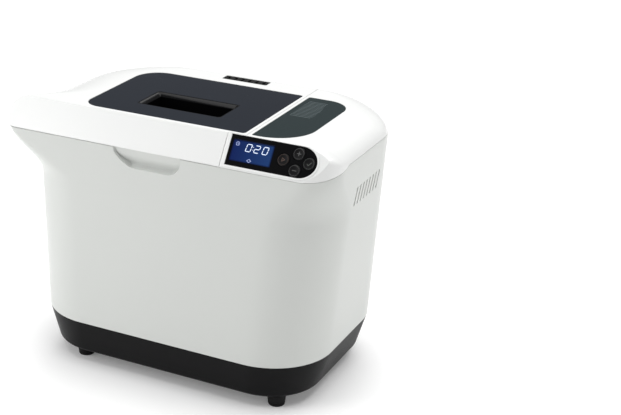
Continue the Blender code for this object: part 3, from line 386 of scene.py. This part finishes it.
plastics = {
    # painted shade: white_plastic (housing walls, vent baffle) is set about a third darker than lid_white (lid, top
    # deck); the drop stands in for the upright walls getting less light than the top-facing pieces, and only its faint
    # green-grey tint is the plastic's own colour
    "white_plastic": {"colour": (0.62, 0.636, 0.613), "deep": 0.975, "rough": 0.34, "cloud": 7, "grain": 900,
                      "bump": 0.05},
    "lid_white": {"colour": (0.81, 0.817, 0.808), "deep": 0.98, "rough": 0.24, "cloud": 9, "grain": 700, "bump": 0.03},
    "black_plastic": {"colour": (0.0045, 0.0045, 0.005), "deep": 0.8, "gleam": 0.1, "rough": 0.42, "cloud": 20,
                      "grain": 1500, "bump": 0.35},
    "key_black": {"colour": (0.004, 0.004, 0.0045), "deep": 0.8, "gleam": 0.2, "rough": 0.3, "cloud": 60,
                  "grain": 1800, "bump": 0.1},
    "gloss_black": {"colour": (0.003, 0.003, 0.0035), "deep": 0.9, "gleam": 0.18, "rough": 0.1, "cloud": 30,
                    "grain": 600, "bump": 0.02},
    "seal_rubber": {"colour": (0.04, 0.04, 0.042), "deep": 0.7, "rough": 0.75, "cloud": 30, "grain": 1400, "bump": 0.3},
    "foot_rubber": {"colour": (0.006, 0.006, 0.0062), "deep": 0.7, "gleam": 0.2, "rough": 0.6, "cloud": 60,
                    "grain": 1200, "bump": 0.4},
    "belt_rubber": {"colour": (0.015, 0.015, 0.016), "deep": 0.7, "rough": 0.7, "cloud": 60, "grain": 900, "bump": 0.5},
    "pale_plastic": {"colour": (0.72, 0.71, 0.66), "deep": 0.92, "rough": 0.5, "cloud": 25, "grain": 900, "bump": 0.15},
    "deck_grey": {"colour": (0.68, 0.69, 0.69), "deep": 0.94, "rough": 0.5, "cloud": 12, "grain": 1000, "bump": 0.15},
    "board_green": {"colour": (0.02, 0.13, 0.05), "deep": 0.55, "rough": 0.4, "cloud": 90, "grain": 500, "bump": 0.2},
    "capacitor_blue": {"colour": (0.06, 0.09, 0.14), "deep": 0.8, "rough": 0.35, "cloud": 30, "grain": 900,
                       "bump": 0.08},
    "ceramic_body": {"colour": (0.72, 0.7, 0.62), "deep": 0.85, "rough": 0.6, "cloud": 80, "grain": 1100, "bump": 0.3},
    "non_stick": {"colour": (0.045, 0.046, 0.05), "deep": 0.75, "rough": 0.36, "cloud": 22, "grain": 1300, "bump": 0.35,
                  "fixed": {"Metallic": 0.35}},
    "element_metal": {"colour": (0.11, 0.1, 0.095), "deep": 0.55, "rough": 0.5, "cloud": 45, "grain": 1000, "bump": 0.3,
                      "fixed": {"Metallic": 0.5}},
    "motor_grey": {"colour": (0.2, 0.21, 0.22), "deep": 0.85, "rough": 0.42, "cloud": 20, "grain": 1000, "bump": 0.12,
                   "fixed": {"Metallic": 0.6}}}
metals = {
    "chamber_steel": {"colour": (0.6, 0.6, 0.59), "deep": 0.82, "rough": 0.34, "scale": 60, "stretch": (1, 1, 22),
                      "bump": 0.12},
    "plated_steel": {"colour": (0.6, 0.61, 0.62), "deep": 0.82, "rough": 0.36, "scale": 90, "stretch": (1, 1, 1),
                     "bump": 0.06},
    "shaft_steel": {"colour": (0.68, 0.68, 0.69), "deep": 0.85, "rough": 0.22, "scale": 120, "stretch": (1, 1, 8),
                    "bump": 0.05},
    "liner_metal": {"colour": (0.6, 0.61, 0.62), "deep": 0.86, "rough": 0.33, "scale": 70, "stretch": (18, 1, 1),
                    "bump": 0.1},
    "cast_metal": {"colour": (0.42, 0.42, 0.43), "deep": 0.7, "rough": 0.5, "scale": 260, "stretch": (1, 1, 1),
                   "bump": 0.4},
    "bronze": {"colour": (0.5, 0.36, 0.16), "deep": 0.75, "rough": 0.4, "scale": 200, "stretch": (1, 1, 1),
               "bump": 0.25}}
finishes = {name: moulded(name, look) for name, look in plastics.items()}
finishes.update({name: worked(name, look) for name, look in metals.items()})

smoked = Finish("smoked_window", Roughness=0.07, IOR=1.49, Specular_IOR_Level=0.09, Alpha=0.965)
haze = smoked.noise(11, 3.0)
smoked.feed("Base Color", smoked.mix(haze, (0.011, 0.014, 0.021), (0.014, 0.018, 0.026)))
smoked.bump(smoked.noise(18, 1.0), 0.02, 0.0004)
finishes["smoked_window"] = smoked.material

clear = Finish("inner_glass", Roughness=0.05, IOR=1.5, Alpha=0.35)
clear.feed("Base Color", clear.mix(clear.noise(16, 4.0), (0.42, 0.47, 0.46), (0.5, 0.54, 0.53)))
finishes["inner_glass"] = clear.material

chart = {"x": (94.0, 119.0), "y": (-4.0, 52.0), "rows": 13, "ink": (0.075, 0.095, 0.1)}


def printedPlate():
    made = Finish("info_grey", IOR=1.5, Specular_IOR_Level=0.09)
    x, y, _ = made.axes()
    u = (x * 1000 - (chart["x"][0] + body["shift"])) * (1 / (chart["x"][1] - chart["x"][0]))
    v = (y * 1000 - chart["y"][0]) * (1 / (chart["y"][1] - chart["y"][0]))
    inside = (u > 0) * (u < 1) * (v > 0) * (v < 1)
    row = (v * chart["rows"]).maths("FRACT")
    number = (v * chart["rows"]).maths("FLOOR")
    reach = 0.86 + 0.1 * (number * 12.9898).maths("SINE")
    bars = (row > 0.3) * (row < 0.74) * (u < reach + 0.1)
    dashes = ((u * 14 + number * 0.37).maths("FRACT") > 0.22)
    mark = inside * bars * dashes
    ground = made.mix(made.noise(20, 3.0), (0.014, 0.024, 0.026), (0.017, 0.028, 0.03))
    made.feed("Base Color", made.mix(mark, ground, chart["ink"]))
    made.feed("Roughness", 0.2 + mark * 0.2)
    made.bump(made.noise(600, 2.0), 0.03, 0.0001)
    return made.material


finishes["info_grey"] = printedPlate()

lcd = {"box": (72.6, 118.8, 5.2, 28.0), "dim": (0.001, 0.0012, 0.008), "blue": (0.006, 0.018, 0.11),
       "bright": (0.018, 0.06, 0.2), "glow": 0.75}


def litDisplay():
    made = Finish("display", Roughness=0.1, IOR=1.5, Specular_IOR_Level=0.2, Emission_Strength=lcd["glow"])
    x, _, z = made.axes()
    across = (x * 1000 - (lcd["box"][0] + body["shift"])) * (1 / (lcd["box"][1] - lcd["box"][0]))
    low = top - lcd["box"][3] * math.sin(body["slope"])
    up = (z * 1000 - low) * (1 / ((lcd["box"][3] - lcd["box"][2]) * math.sin(body["slope"])))
    edge = (across * (1 - across) * 22).maths("MINIMUM", 1.0) * (up * (1 - up) * 14).maths("MINIMUM", 1.0)
    sweep = made.mix(across, lcd["blue"], lcd["bright"])
    glow = made.mix(edge.maths("MAXIMUM", 0.0), lcd["dim"], sweep)
    made.feed("Base Color", made.mix(made.noise(40, 2.0), lcd["dim"], [c * 0.2 for c in lcd["blue"]]))
    made.feed("Emission Color", glow)
    return made.material


finishes["display"] = litDisplay()


def inked(name, colour, glow=0.0):
    made = Finish(name, Roughness=0.4, Emission_Strength=glow)
    made.feed("Base Color", made.mix(made.noise(900, 2.0), colour, [c * 0.85 for c in colour]))
    if glow:
        made.feed("Emission Color", made.mix(made.noise(700, 1.0), colour, [c * 0.9 for c in colour]))
    return made.material


print("finishes made:", len(finishes))


# giving a piece its body, finish and shading
def shadingGroup(limit):
    group = bpy.data.node_groups.new("softShading", "GeometryNodeTree")
    group.interface.new_socket("Geometry", in_out="INPUT", socket_type="NodeSocketGeometry")
    group.interface.new_socket("Geometry", in_out="OUTPUT", socket_type="NodeSocketGeometry")
    nodes, links = group.nodes, group.links
    start, end = nodes.new("NodeGroupInput"), nodes.new("NodeGroupOutput")
    angle = nodes.new("GeometryNodeInputMeshEdgeAngle")
    over = nodes.new("FunctionNodeCompare")
    over.operation = "GREATER_THAN"
    over.inputs[1].default_value = math.radians(limit)
    faces, edges = nodes.new("GeometryNodeSetShadeSmooth"), nodes.new("GeometryNodeSetShadeSmooth")
    edges.domain = "EDGE"
    edges.inputs["Shade Smooth"].default_value = False
    links.new(start.outputs[0], faces.inputs[0])
    links.new(faces.outputs[0], edges.inputs[0])
    links.new(angle.outputs[0], over.inputs[0])
    links.new(over.outputs[0], edges.inputs["Selection"])
    links.new(edges.outputs[0], end.inputs[0])
    return group


softShading = shadingGroup(34.0)


def shaded(obj, weigh=False):
    obj.modifiers.new("shading", "NODES").node_group = softShading
    if weigh:
        mod = obj.modifiers.new("weighted", "WEIGHTED_NORMAL")
        mod.mode, mod.keep_sharp, mod.weight = "FACE_AREA", True, 60


def place(obj, rides, finish, stands=(), slot=None, weigh=False):
    obj.data.materials.clear()
    obj.data.materials.append(finish if isinstance(finish, bpy.types.Material) else finishes[finish])
    shaded(obj, weigh)
    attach(obj, rides)
    if stands:
        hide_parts(*stands)
    return obj


# white shell
shell = {"levels": [body["seam"] + body["gap"]] + [80 + 26 * k for k in range(5)] + [212 + 5 * k for k in range(11)],
         "slots": 8, "slotFrom": -34.0, "slotStep": 8.6, "slotWide": 3.4, "slotLean": 5.6, "slotZ": (222.5, 242.5),
         "gland": (94.0, 130.0, 9.4)}
pocket = {"back": -97.0, "block": (-66.0, 24.0, 243.5, 271.9), "low": 247.2,
          "left": ((247.2, -33.0), (247.35, -38.0), (248.1, -42.0), (249.6, -45.6), (254.0, -52.4), (258.5, -58.0),
                   (261.0, -60.6), (265.0, -61.8), (280.0, -62.0)),
          "right": ((247.2, 3.0), (247.4, 7.0), (248.4, 10.2), (250.5, 13.2), (254.0, 16.3), (258.0, 18.3),
                    (262.0, 18.9), (280.0, 19.0)),
          "levels": ((-150.0, 272.0, 0.0), (-106.2, 272.0, 0.0), (-105.4, 272.0, 0.35), (-104.6, 270.0, 0.5),
                     (-103.4, 261.5, 0.6), (-102.4, 258.6, 0.8), (-101.2, 256.0, 1.2),
                      (-100.2, 253.9, 1.9), (-99.4, 252.3, 3.0))}


def between(z, chain):
    for (z0, x0), (z1, x1) in zip(chain, chain[1:]):
        if z <= z1:
            return x0 + (x1 - x0) * (z - z0) / (z1 - z0)
    return chain[-1][1]


def pocketRing(y, topZ, shrink):
    low = pocket["low"] + shrink
    heights = [low + (topZ - low) * t for t in (1.0, 0.8, 0.62, 0.45, 0.3, 0.2, 0.12, 0.06, 0.02, 0.0)]
    left = [(between(z, pocket["left"]) + shrink, y, z) for z in heights]
    return left + [(between(z, pocket["right"]) - shrink, y, z) for z in reversed(heights)]


housing = envelope("housingShell", shell["levels"])
hollow = envelope("shellCore", [30.0] + shell["levels"][1:], body["wall"])
bx0, bx1, bz0, bz1 = pocket["block"]
cut(hollow, prism("pocketBlock", [(-130, bz0), (pocket["back"], bz0), (pocket["back"], bz1), (-130, bz1)], bx0, bx1))
cut(housing, hollow)
cut(housing, prism("shellTop", partingLine(0) + [(150, 340), (-150, 340)], -260, 260))
cut(housing, loft("pocketTool", [pocketRing(*level) for level in pocket["levels"]], split=True))
slotTools = []
for k in range(shell["slots"]):
    y = shell["slotFrom"] + shell["slotStep"] * k
    (z0, z1), wide, lean = shell["slotZ"], shell["slotWide"], shell["slotLean"]
    slotTools.append(prism(f"slot{k}", [(y, z0), (y + wide, z0), (y + wide + lean, z1), (y + lean, z1)], 165, 210))
cut(housing, joined("slotTools", slotTools))
cut(housing, roundBar("glandTool", "y", shell["gland"][:2], shell["gland"][2], 100, 130))
# the housing takes the darker white_plastic, whose grey is partly painted shade
place(housing, "machine", "white_plastic", ["outer_housing"], weigh=True)
baffle = {"y": (-38.0, 44.0), "z": (218.0, 247.0), "depth": 0.9, "thick": 2.4}
rings = []
for z in [baffle["z"][0] + (baffle["z"][1] - baffle["z"][0]) * k / 12 for k in range(13)]:
    side, _ = halves(z, baffle["depth"])
    rings.append([(side, baffle["y"][0], z), (side, baffle["y"][1], z), (side - baffle["thick"], baffle["y"][1], z),
                  (side - baffle["thick"], baffle["y"][0], z)])
place(loft("ventBaffle", rings), "machine", "white_plastic")
print("shell made")

# lid
lidLow = [(-150, 200)] + partingLine(parting["open"]) + [(150, 200)]
lidLevels = [255, 257.5, 260, 262.5, 265]
window = {"box": (-116.5, 79.8, -80.4, 65.2), "radii": (3.0, 3.0, 30.0, 20.0), "thick": 3.4, "round": 0.7}
well = {"box": (-66.0, 35.0, -48.2, 0.0), "radius": 3.0, "deep": 24.0, "wall": 1.6, "mouth": 3.2, "mouthDeep": 4.2}
steam = {"box": (-27.7, 27.7, 78.6, 92.0), "slots": 6, "step": 8.8, "first": -22.0}
knuckle = {"x": (-88.0, 58.0), "wide": 24.0, "pin": 4.1}
cover = envelope("lidCover", lidLevels)
cut(cover, prism("lidLow", lidLow, -260, 260))
cut(cover, stripSide("lidStrip"))
cut(cover, steppedSide("lidRight", -lidEdge["gap"] / 2, 1, 201))
rollCut = body["roll"] + 0.15
quarter = [math.pi / 2 * k / 16 for k in range(17)]
rear = [(hingeY, 220.0), (140.0, 220.0), (140.0, hingeZ + 0.2), (hingeY + rollCut, hingeZ + 0.2)]
rear += [(hingeY + rollCut * math.cos(t), hingeZ - rollCut * math.sin(t)) for t in quarter]
cut(cover, prism("lidRear", rear, -260, 260))
lidCore = envelope("lidCore", [240.0] + lidLevels, body["wall"])
cut(lidCore, stripSide("coreStrip", body["wall"]))
cut(lidCore, steppedSide("coreRight", -lidEdge["gap"] / 2 - body["wall"], 1, 150))
cut(cover, lidCore)
rollEnd = lidEdge["top"] - lidEdge["gap"] / 2 - 0.4
cut(cover, roundBar("lidRoll", "x", (hingeY, hingeZ), body["roll"] - 0.7, -112, rollEnd, 56), "UNION")
cut(cover, slab("windowTool", grownBox(window["box"], window["radii"], body["gap"], 16), top - 12, 340))
cut(cover, slab("steamTool", grownBox(steam["box"], 1.7, body["gap"]), top - 3.4, 340))
for k, x in enumerate(knuckle["x"]):
    half = knuckle["wide"] / 2 + 0.6
    cut(cover, slab(f"notch{k}", [(x - half, hingeY - 13), (x + half, hingeY - 13), (x + half, 130), (x - half, 130)],
                    240, top - 2.3))
    cut(cover, roundBar(f"pinHole{k}", "x", (hingeY, hingeZ), knuckle["pin"] / 2, x - 24, x + 24))
place(cover, "lid", "lid_white", ["lid_shell"], weigh=True)

x0, x1, y0, y1 = window["box"]
faceZ, edgeRound = top - 0.1, window["round"]
flangeLow = top - window["thick"] - 1.4
pane = loft("windowPane", [flat(grownBox(window["box"], window["radii"], -edgeRound * (1 - math.cos(t)), 16),
                                faceZ - edgeRound + edgeRound * math.sin(t)) if t >= 0 else
                           flat(grownBox(window["box"], window["radii"], 0, 16), faceZ - window["thick"])
                           for t in (-1, 0, math.pi / 8, math.pi / 4, 3 * math.pi / 8, math.pi / 2)])
cut(pane, slab("paneFlange", rounded(x0 - 3.5, x1 + 0.9, y0 - 1.0, y1 + 4, (3.9, 4.2, 33.5, 21.4)), flangeLow,
               top - body["wall"] - body["gap"]), "UNION")
cut(pane, slab("wellTool", grownBox(well["box"], well["radius"], body["gap"]), top - 20, 340))
place(pane, "lid", "smoked_window", ["lid_window"], weigh=True)

wellForm = slab("wellTray", grownBox(well["box"], well["radius"], 0), top - well["deep"], top - 0.2)
cut(wellForm, slab("wellCollar", grownBox(well["box"], 2.0, 4.0), flangeLow - body["gap"] - 1.8,
                   flangeLow - body["gap"]),
    "UNION")
mouth = [(-(well["wall"] + well["mouth"]), top - well["deep"] - 4),
         (-(well["wall"] + well["mouth"]), top - well["mouthDeep"] - 0.2),
         (-(well["wall"] + 0.4 * well["mouth"]), top - 0.45 * well["mouthDeep"]), (-0.7, top - 0.6), (-0.35, top + 0.6)]
cut(wellForm, loft("wellInside", [flat(grownBox(well["box"], 4.6, by), z) for by, z in mouth]))
place(wellForm, "lid", "gloss_black", ["dispenser_well"], weigh=True)

vy0, vy1 = steam["box"][2:]
ventForm = loft("steamGrille", [flat(grownBox(steam["box"], 1.7, by), z) for by, z in
                                ((0, top - 3.1), (0, top - 0.6), (-0.25, top - 0.3), (-0.6, top - 0.2))])
slotMiddles = [steam["first"] + steam["step"] * k for k in range(steam["slots"])]
cut(ventForm, joined("steamSlots", [slab(f"steamSlot{k}", rounded(x - 1.3, x + 1.3, vy0 + 3, vy1 - 3, 1.2, 5),
                                         top - 1.8, 340) for k, x in enumerate(slotMiddles)]))
place(ventForm, "lid", "black_plastic", ["steam_vent"], weigh=True)
print("lid made")

# fixed deck with the information plate and the control strip
panel = {"box": (69.6, 167.6, 0.6, 33.2), "end": 19.0, "rim": 2.4, "rimLeft": 4.6}
plate = {"box": (88.0, 140.2, -81.0, 63.8), "radii": (44.0, 28.0, 2.5, 2.5)}


def capsule(by, left=None, steps=28):
    px0, px1, s0, s1 = panel["box"]
    half, end = (s1 - s0) / 2, panel["end"]
    edge = px0 - (by if left is None else left)
    ring = [(edge, s0 - by), (edge, s1 + by)]
    for k in range(steps + 1):
        t = math.pi * k / steps
        ring.append((px1 - end + (end + by) * math.sin(t), (s0 + s1) / 2 + (half + by) * math.cos(t)))
    return ring


deck = envelope("deckCover", lidLevels)
cut(deck, prism("deckLow", [(y, z - 0.3 if z > 210 else z) for y, z in lidLow], -260, 260))
cut(deck, stripSide("deckStrip"))
cut(deck, steppedSide("deckLeft", lidEdge["gap"] / 2, -1, 202))
deckCore = envelope("deckCore", [240.0] + lidLevels, body["wall"])
cut(deckCore, stripSide("deckCoreStrip", body["wall"]))
cut(deckCore, steppedSide("deckCoreLeft", lidEdge["gap"] / 2 + body["wall"], -1, 150))
cut(deck, deckCore)
rimRings = [[(x, max(s, -0.1)) for x, s in capsule(by, left)] for by, left in
            ((panel["rim"], panel["rimLeft"]), (panel["rim"], panel["rimLeft"]),
              (panel["rim"] - 0.35, panel["rimLeft"] - 0.3),
             (panel["rim"] - 0.8, panel["rimLeft"] - 0.8))]
cut(deck, stripLoft("panelRim", rimRings, (-1.2, 0.3, 0.6, 0.7)), "UNION")
cut(deck, stripLoft("panelTool", [capsule(body["gap"])] * 2, (-9, 9)))
cut(deck, slab("plateTool", grownBox(plate["box"], plate["radii"], body["gap"], 18), top - 1.5, 340))
# the deck belongs to the body but takes the brighter lid_white because it faces up: the other half of the same painted
# shade split
place(deck, "machine", "lid_white", ["top_deck"], weigh=True)

plateForm = loft("infoPlate", [flat(grownBox(plate["box"], plate["radii"], by, 18), z) for by, z in
                               ((0, top - 1.2), (0, top - 0.4), (-0.15, top - 0.2), (-0.4, top - 0.1))])
place(plateForm, "machine", "info_grey", ["info_panel"], weigh=True)

glass = stripLoft("controlGlass", [capsule(0), capsule(0), capsule(-0.15), capsule(-0.45)], (-2.2, 0.1, 0.3, 0.4))
cut(glass, stripLoft("lcdTool", [grownBox(lcd["box"], 0.0, body["gap"], 1)] * 2, (-6, 6)))
keys = {"radius": 6.3, "clear": 0.4, "deep": -5.0, "up": 1.1,
        "at": {"left": (131.2, 17.5), "top": (146.2, 8.7), "bottom": (145.8, 26.4), "right": (159.2, 16.9)}}


def disc(cx, cs, radius, count=44):
    return [(cx + radius * math.cos(2 * math.pi * k / count), cs + radius * math.sin(2 * math.pi * k / count))
            for k in range(count)]


for side, (kx, ks) in keys["at"].items():
    cut(glass, stripLoft(f"keyTool{side}", [disc(kx, ks, keys["radius"] + keys["clear"])] * 2, (-6, 6)))
place(glass, "machine", "gloss_black", ["control_panel"], weigh=True)
screen = stripLoft("displayGlass", [grownBox(lcd["box"], 0.0, by, 1) for by in (0, 0, -0.2)], (-4.5, 0.15, 0.3))
place(screen, "machine", "display", ["lcd_display"], weigh=True)

digits = {"from": 88.0, "wide": 5.3, "step": 9.3, "s": (8.4, 16.0), "thick": 0.78, "lean": 0.16, "up": 0.36,
          "shown": ((0, "abcdef"), (1, "abged"), (2, "abcdef"))}


def strokes(name, lines, thick, low, high):
    made = []
    for k, ((ax, ay), (bx, by)) in enumerate(lines):
        along = Vector((bx - ax, by - ay)).normalized()
        across = Vector((-along.y, along.x)) * thick / 2
        a, b = Vector((ax, ay)), Vector((bx, by))
        tip = along * thick / 2
        ring = [a - tip, a - across, b - across, b + tip, b + across, a + across]
        made.append(stripLoft(f"{name}{k}", [[(p.x, p.y) for p in ring]] * 2, (low, high)))
    return joined(name, made)


def sevenPart(index, lit):
    s0, s1 = digits["s"]
    mid, wide, pad = (s0 + s1) / 2, digits["wide"], 0.55
    left = digits["from"] + digits["step"] * index
    ends = {"a": ((0, s0), (wide, s0)), "b": ((wide, s0), (wide, mid)), "c": ((wide, mid), (wide, s1)),
            "d": ((0, s1), (wide, s1)), "e": ((0, mid), (0, s1)), "f": ((0, s0), (0, mid)),
             "g": ((0, mid), (wide, mid))}
    out = []
    for part in lit:
        (ax, ay), (bx, by) = ends[part]
        dx, dy = (bx - ax, by - ay)
        far = math.hypot(dx, dy)
        ax, ay, bx, by = ax + dx / far * pad, ay + dy / far * pad, bx - dx / far * pad, by - dy / far * pad
        out.append(tuple((left + x + digits["lean"] * (s1 - y), y) for x, y in ((ax, ay), (bx, by))))
    return out


figures = [line for index, lit in digits["shown"] for line in sevenPart(index, lit)]
dotX = digits["from"] + digits["wide"] + 2.0
figures += [((dotX + lean, s), (dotX + lean, s + 0.1)) for lean, s in ((0.9, 10.6), (0.4, 13.6))]
numerals = strokes("displayFigures", figures, digits["thick"], digits["up"] - 0.1, digits["up"])
place(numerals, "machine", inked("figure_ink", (0.6, 0.68, 0.82), 0.75), slot="display")


def hoop(cx, cs, radius, count=16):
    ring = disc(cx, cs, radius, count)
    return [(ring[k], ring[(k + 1) % count]) for k in range(count)]


signs = hoop(78.2, 9.6, 1.9, 12) + [((78.2, 8.6), (78.2, 9.7)), ((78.2, 9.7), (79.2, 10.3))]
signs += [((92.6, 25.4), (94.9, 23.5)), ((94.9, 23.5), (97.2, 25.4)),
          ((97.2, 25.4), (94.9, 27.0)), ((94.9, 27.0), (92.6, 25.4))]
symbols = strokes("displaySigns", signs, 0.55, digits["up"] - 0.1, digits["up"])
place(symbols, "machine", inked("sign_ink", (0.3, 0.36, 0.6), 0.5), slot="display")

inks = {"left": (0.12, 0.075, 0.06), "top": (0.16, 0.16, 0.16), "bottom": (0.13, 0.13, 0.13),
        "right": (0.11, 0.12, 0.11)}
for side, (kx, ks) in keys["at"].items():
    r, up = keys["radius"], keys["up"]
    profile = [(r, keys["deep"]), (r, up - 0.75), (r - 0.2, up - 0.35), (r - 0.6, up - 0.08), (r - 1.0, up),
               (r - 1.5, up - 0.1), (r * 0.5, up - 0.3), (0.4, up - 0.36)]
    cap = stripLoft(f"keyCap{side.title()}", [disc(kx, ks, q) for q, _ in profile], [h for _, h in profile])
    place(cap, f"key_{side}", "key_black", [f"button_{side}"], weigh=True)
    marks = {"top": [((-2.2, 0), (2.2, 0)), ((0, -2.2), (0, 2.2))], "bottom": [((-2.2, 0), (2.2, 0))],
             "right": [((-2, 0.4), (-0.4, 2.0)), ((-0.4, 2.0), (2.4, -1.6))],
             "left": [((-1.4, -1.8), (-1.4, 1.8)), ((-1.4, 1.8), (1.8, 0)), ((1.8, 0), (-1.4, -1.8))]}[side]
    lines = [tuple((kx + p, ks + q) for p, q in pair) for pair in marks]
    inside = strokes(f"keySign{side.title()}", lines, 0.6, up - 0.4, up - 0.2)
    ringMark = strokes(f"keyRing{side.title()}", hoop(kx, ks, r - 0.95, 36), 0.42, up - 0.3, up - 0.02)
    mark = joined(f"keyMark{side.title()}", [inside, ringMark])
    place(mark, f"key_{side}", inked(f"key_ink_{side}", inks[side]), slot="key_black")
print("deck and control strip made")

# black base and feet
base = {"bottom": 14.0, "insetX": 12.4, "insetY": 10.2, "corner": 13.2, "edge": 4.6,
        "posts": [(sx * 105.0, sy * 62.0) for sx in (-1, 1) for sy in (-1, 1)], "postTop": 56.7,
        "feet": {"front_left": (-113.0, -84.0), "front_right": (128.0, -84.0),
                 "rear_left": (-113.0, 84.0), "rear_right": (128.0, 84.0)}}


def baseRing(z, shrink=0.0):
    t = 1 - (z - base["bottom"]) / (body["seam"] - base["bottom"])
    a, b = body["width"] / 2 - base["insetX"] * t - shrink, body["depth"] / 2 - base["insetY"] * t - shrink
    return flat(rounded(-a, a, -b, b, body["corner"] - base["corner"] * t - shrink, smooth["corner"]), z)


bends = [math.pi / 2 * k / 6 for k in range(7)]
baseLevels = [baseRing(base["bottom"] + base["edge"] * (1 - math.cos(t)), base["edge"] * (1 - math.sin(t)))
              for t in bends]
tray = loft("baseShell", baseLevels + [baseRing(36.0), baseRing(54.5), baseRing(55.0, 0.3)], split=True)
cut(tray, loft("baseInside", [baseRing(17.0, 5.6), baseRing(20.0, 3.2), baseRing(56.0, 2.6)], split=True))
for k, (x, y) in enumerate(base["posts"]):
    cut(tray, turned(f"post{k}", x, y, [(5.5, 15.0), (5.5, base["postTop"])], 32), "UNION")
    cut(tray, turned(f"postBore{k}", x, y, [(4.8, 0), (4.8, 16.2), (2.2, 16.3), (2.2, 80)], 32))
for name, (x, y) in base["feet"].items():
    cut(tray, turned(f"footTool{name}", x, y, [(3.8, 0), (3.8, 20)], 32))
    profile = [(6.4, 0.0), (8.0, 0.0), (8.6, 0.25), (9.1, 0.9), (9.4, 2.4), (9.4, 3.0), (8.9, 3.5),
               (8.9, 4.3), (9.7, 4.9), (10.3, 12.4), (10.0, 13.3), (9.5, 13.65), (3.5, 13.7), (3.5, 18.3), (3.2, 18.5)]
    foot = turned("foot" + name.title().replace("_", ""), x, y, profile, 56)
    place(foot, "machine", "foot_rubber", [f"foot_{name}"], weigh=True)
place(tray, "machine", "black_plastic", ["base_tray"], weigh=True)
print("base made")

# the inner works keep their solids and get their finishes
slotOf = {part["node"]: part["material_slot"] for part in frame["record"]["subparts"]}
for name, obj in frame["nodes"].items():
    if obj.hide_render:
        continue
    obj.data.materials.clear()
    obj.data.materials.append(finishes[slotOf[name]])
    shaded(obj)

# floor, light and camera
stage = {"floor": (0.9, 0.9, 0.9), "glow": 0.14, "world": 0.24,
         "boxes": {"overhead": (148.0, (0.1, 0.9, 2.9), (3.4, 5.2), (0.1, 0.5, 0.0)),
                   "leftFill": (9.5, (-1.1, -1.0, 0.7), (0.9, 0.9), (-0.15, -0.1, 0.18)),
                   "rightFill": (7.4, (2.2, 0.5, 0.9), (1.0, 1.6), (0.1, 0, 0.18))}}
floorMesh = newObject("floor", [(-4000, -4000, 0), (4000, -4000, 0), (4000, 4000, 0), (-4000, 4000, 0)], [(0, 1, 2, 3)])
ground = Finish("floor", Roughness=0.8, Specular_IOR_Level=0.1, Emission_Strength=stage["glow"])
ground.feed("Base Color", ground.mix(ground.noise(3, 2.0), stage["floor"], [c * 0.99 for c in stage["floor"]]))
ground.feed("Emission Color", (1, 1, 1))
floorMesh.data.materials.append(ground.material)

world = bpy.data.worlds.new("studio")
bpy.context.scene.world = world
world.use_nodes = True
world.node_tree.nodes["Background"].inputs["Color"].default_value = (1, 1, 1, 1)
world.node_tree.nodes["Background"].inputs["Strength"].default_value = stage["world"]
for name, (power, at, (wide, deep), aim) in stage["boxes"].items():
    light = bpy.data.lights.new(name, "AREA")
    light.energy, light.shape, light.size, light.size_y = power, "RECTANGLE", wide, deep
    softbox = bpy.data.objects.new(name, light)
    softbox.location = at
    softbox.rotation_euler = (Vector(at) - Vector(aim)).to_track_quat("Z", "Y").to_euler()
    shapes.objects.link(softbox)

view = {"at": (0.70280, -1.34991, 0.78772), "yaw": 28.0155, "pitch": 22.1448, "roll": 0.66636, "lens": 84.739,
        "shift": (0.18833, 0.00425)}
camera = bpy.data.cameras.new("camera")
camera.lens, camera.sensor_width = view["lens"], 36.0
camera.shift_x, camera.shift_y = view["shift"]
eye = bpy.data.objects.new("camera", camera)
turn = (Matrix.Rotation(math.radians(view["yaw"]), 4, "Z") @ Matrix.Rotation(math.radians(90 - view["pitch"]), 4, "X")
        @ Matrix.Rotation(math.radians(view["roll"]), 4, "Z"))
eye.matrix_world = Matrix.Translation(view["at"]) @ turn
shapes.objects.link(eye)
bpy.context.scene.camera = eye
bpy.context.scene.view_settings.view_transform = "Standard"

print("stage set")
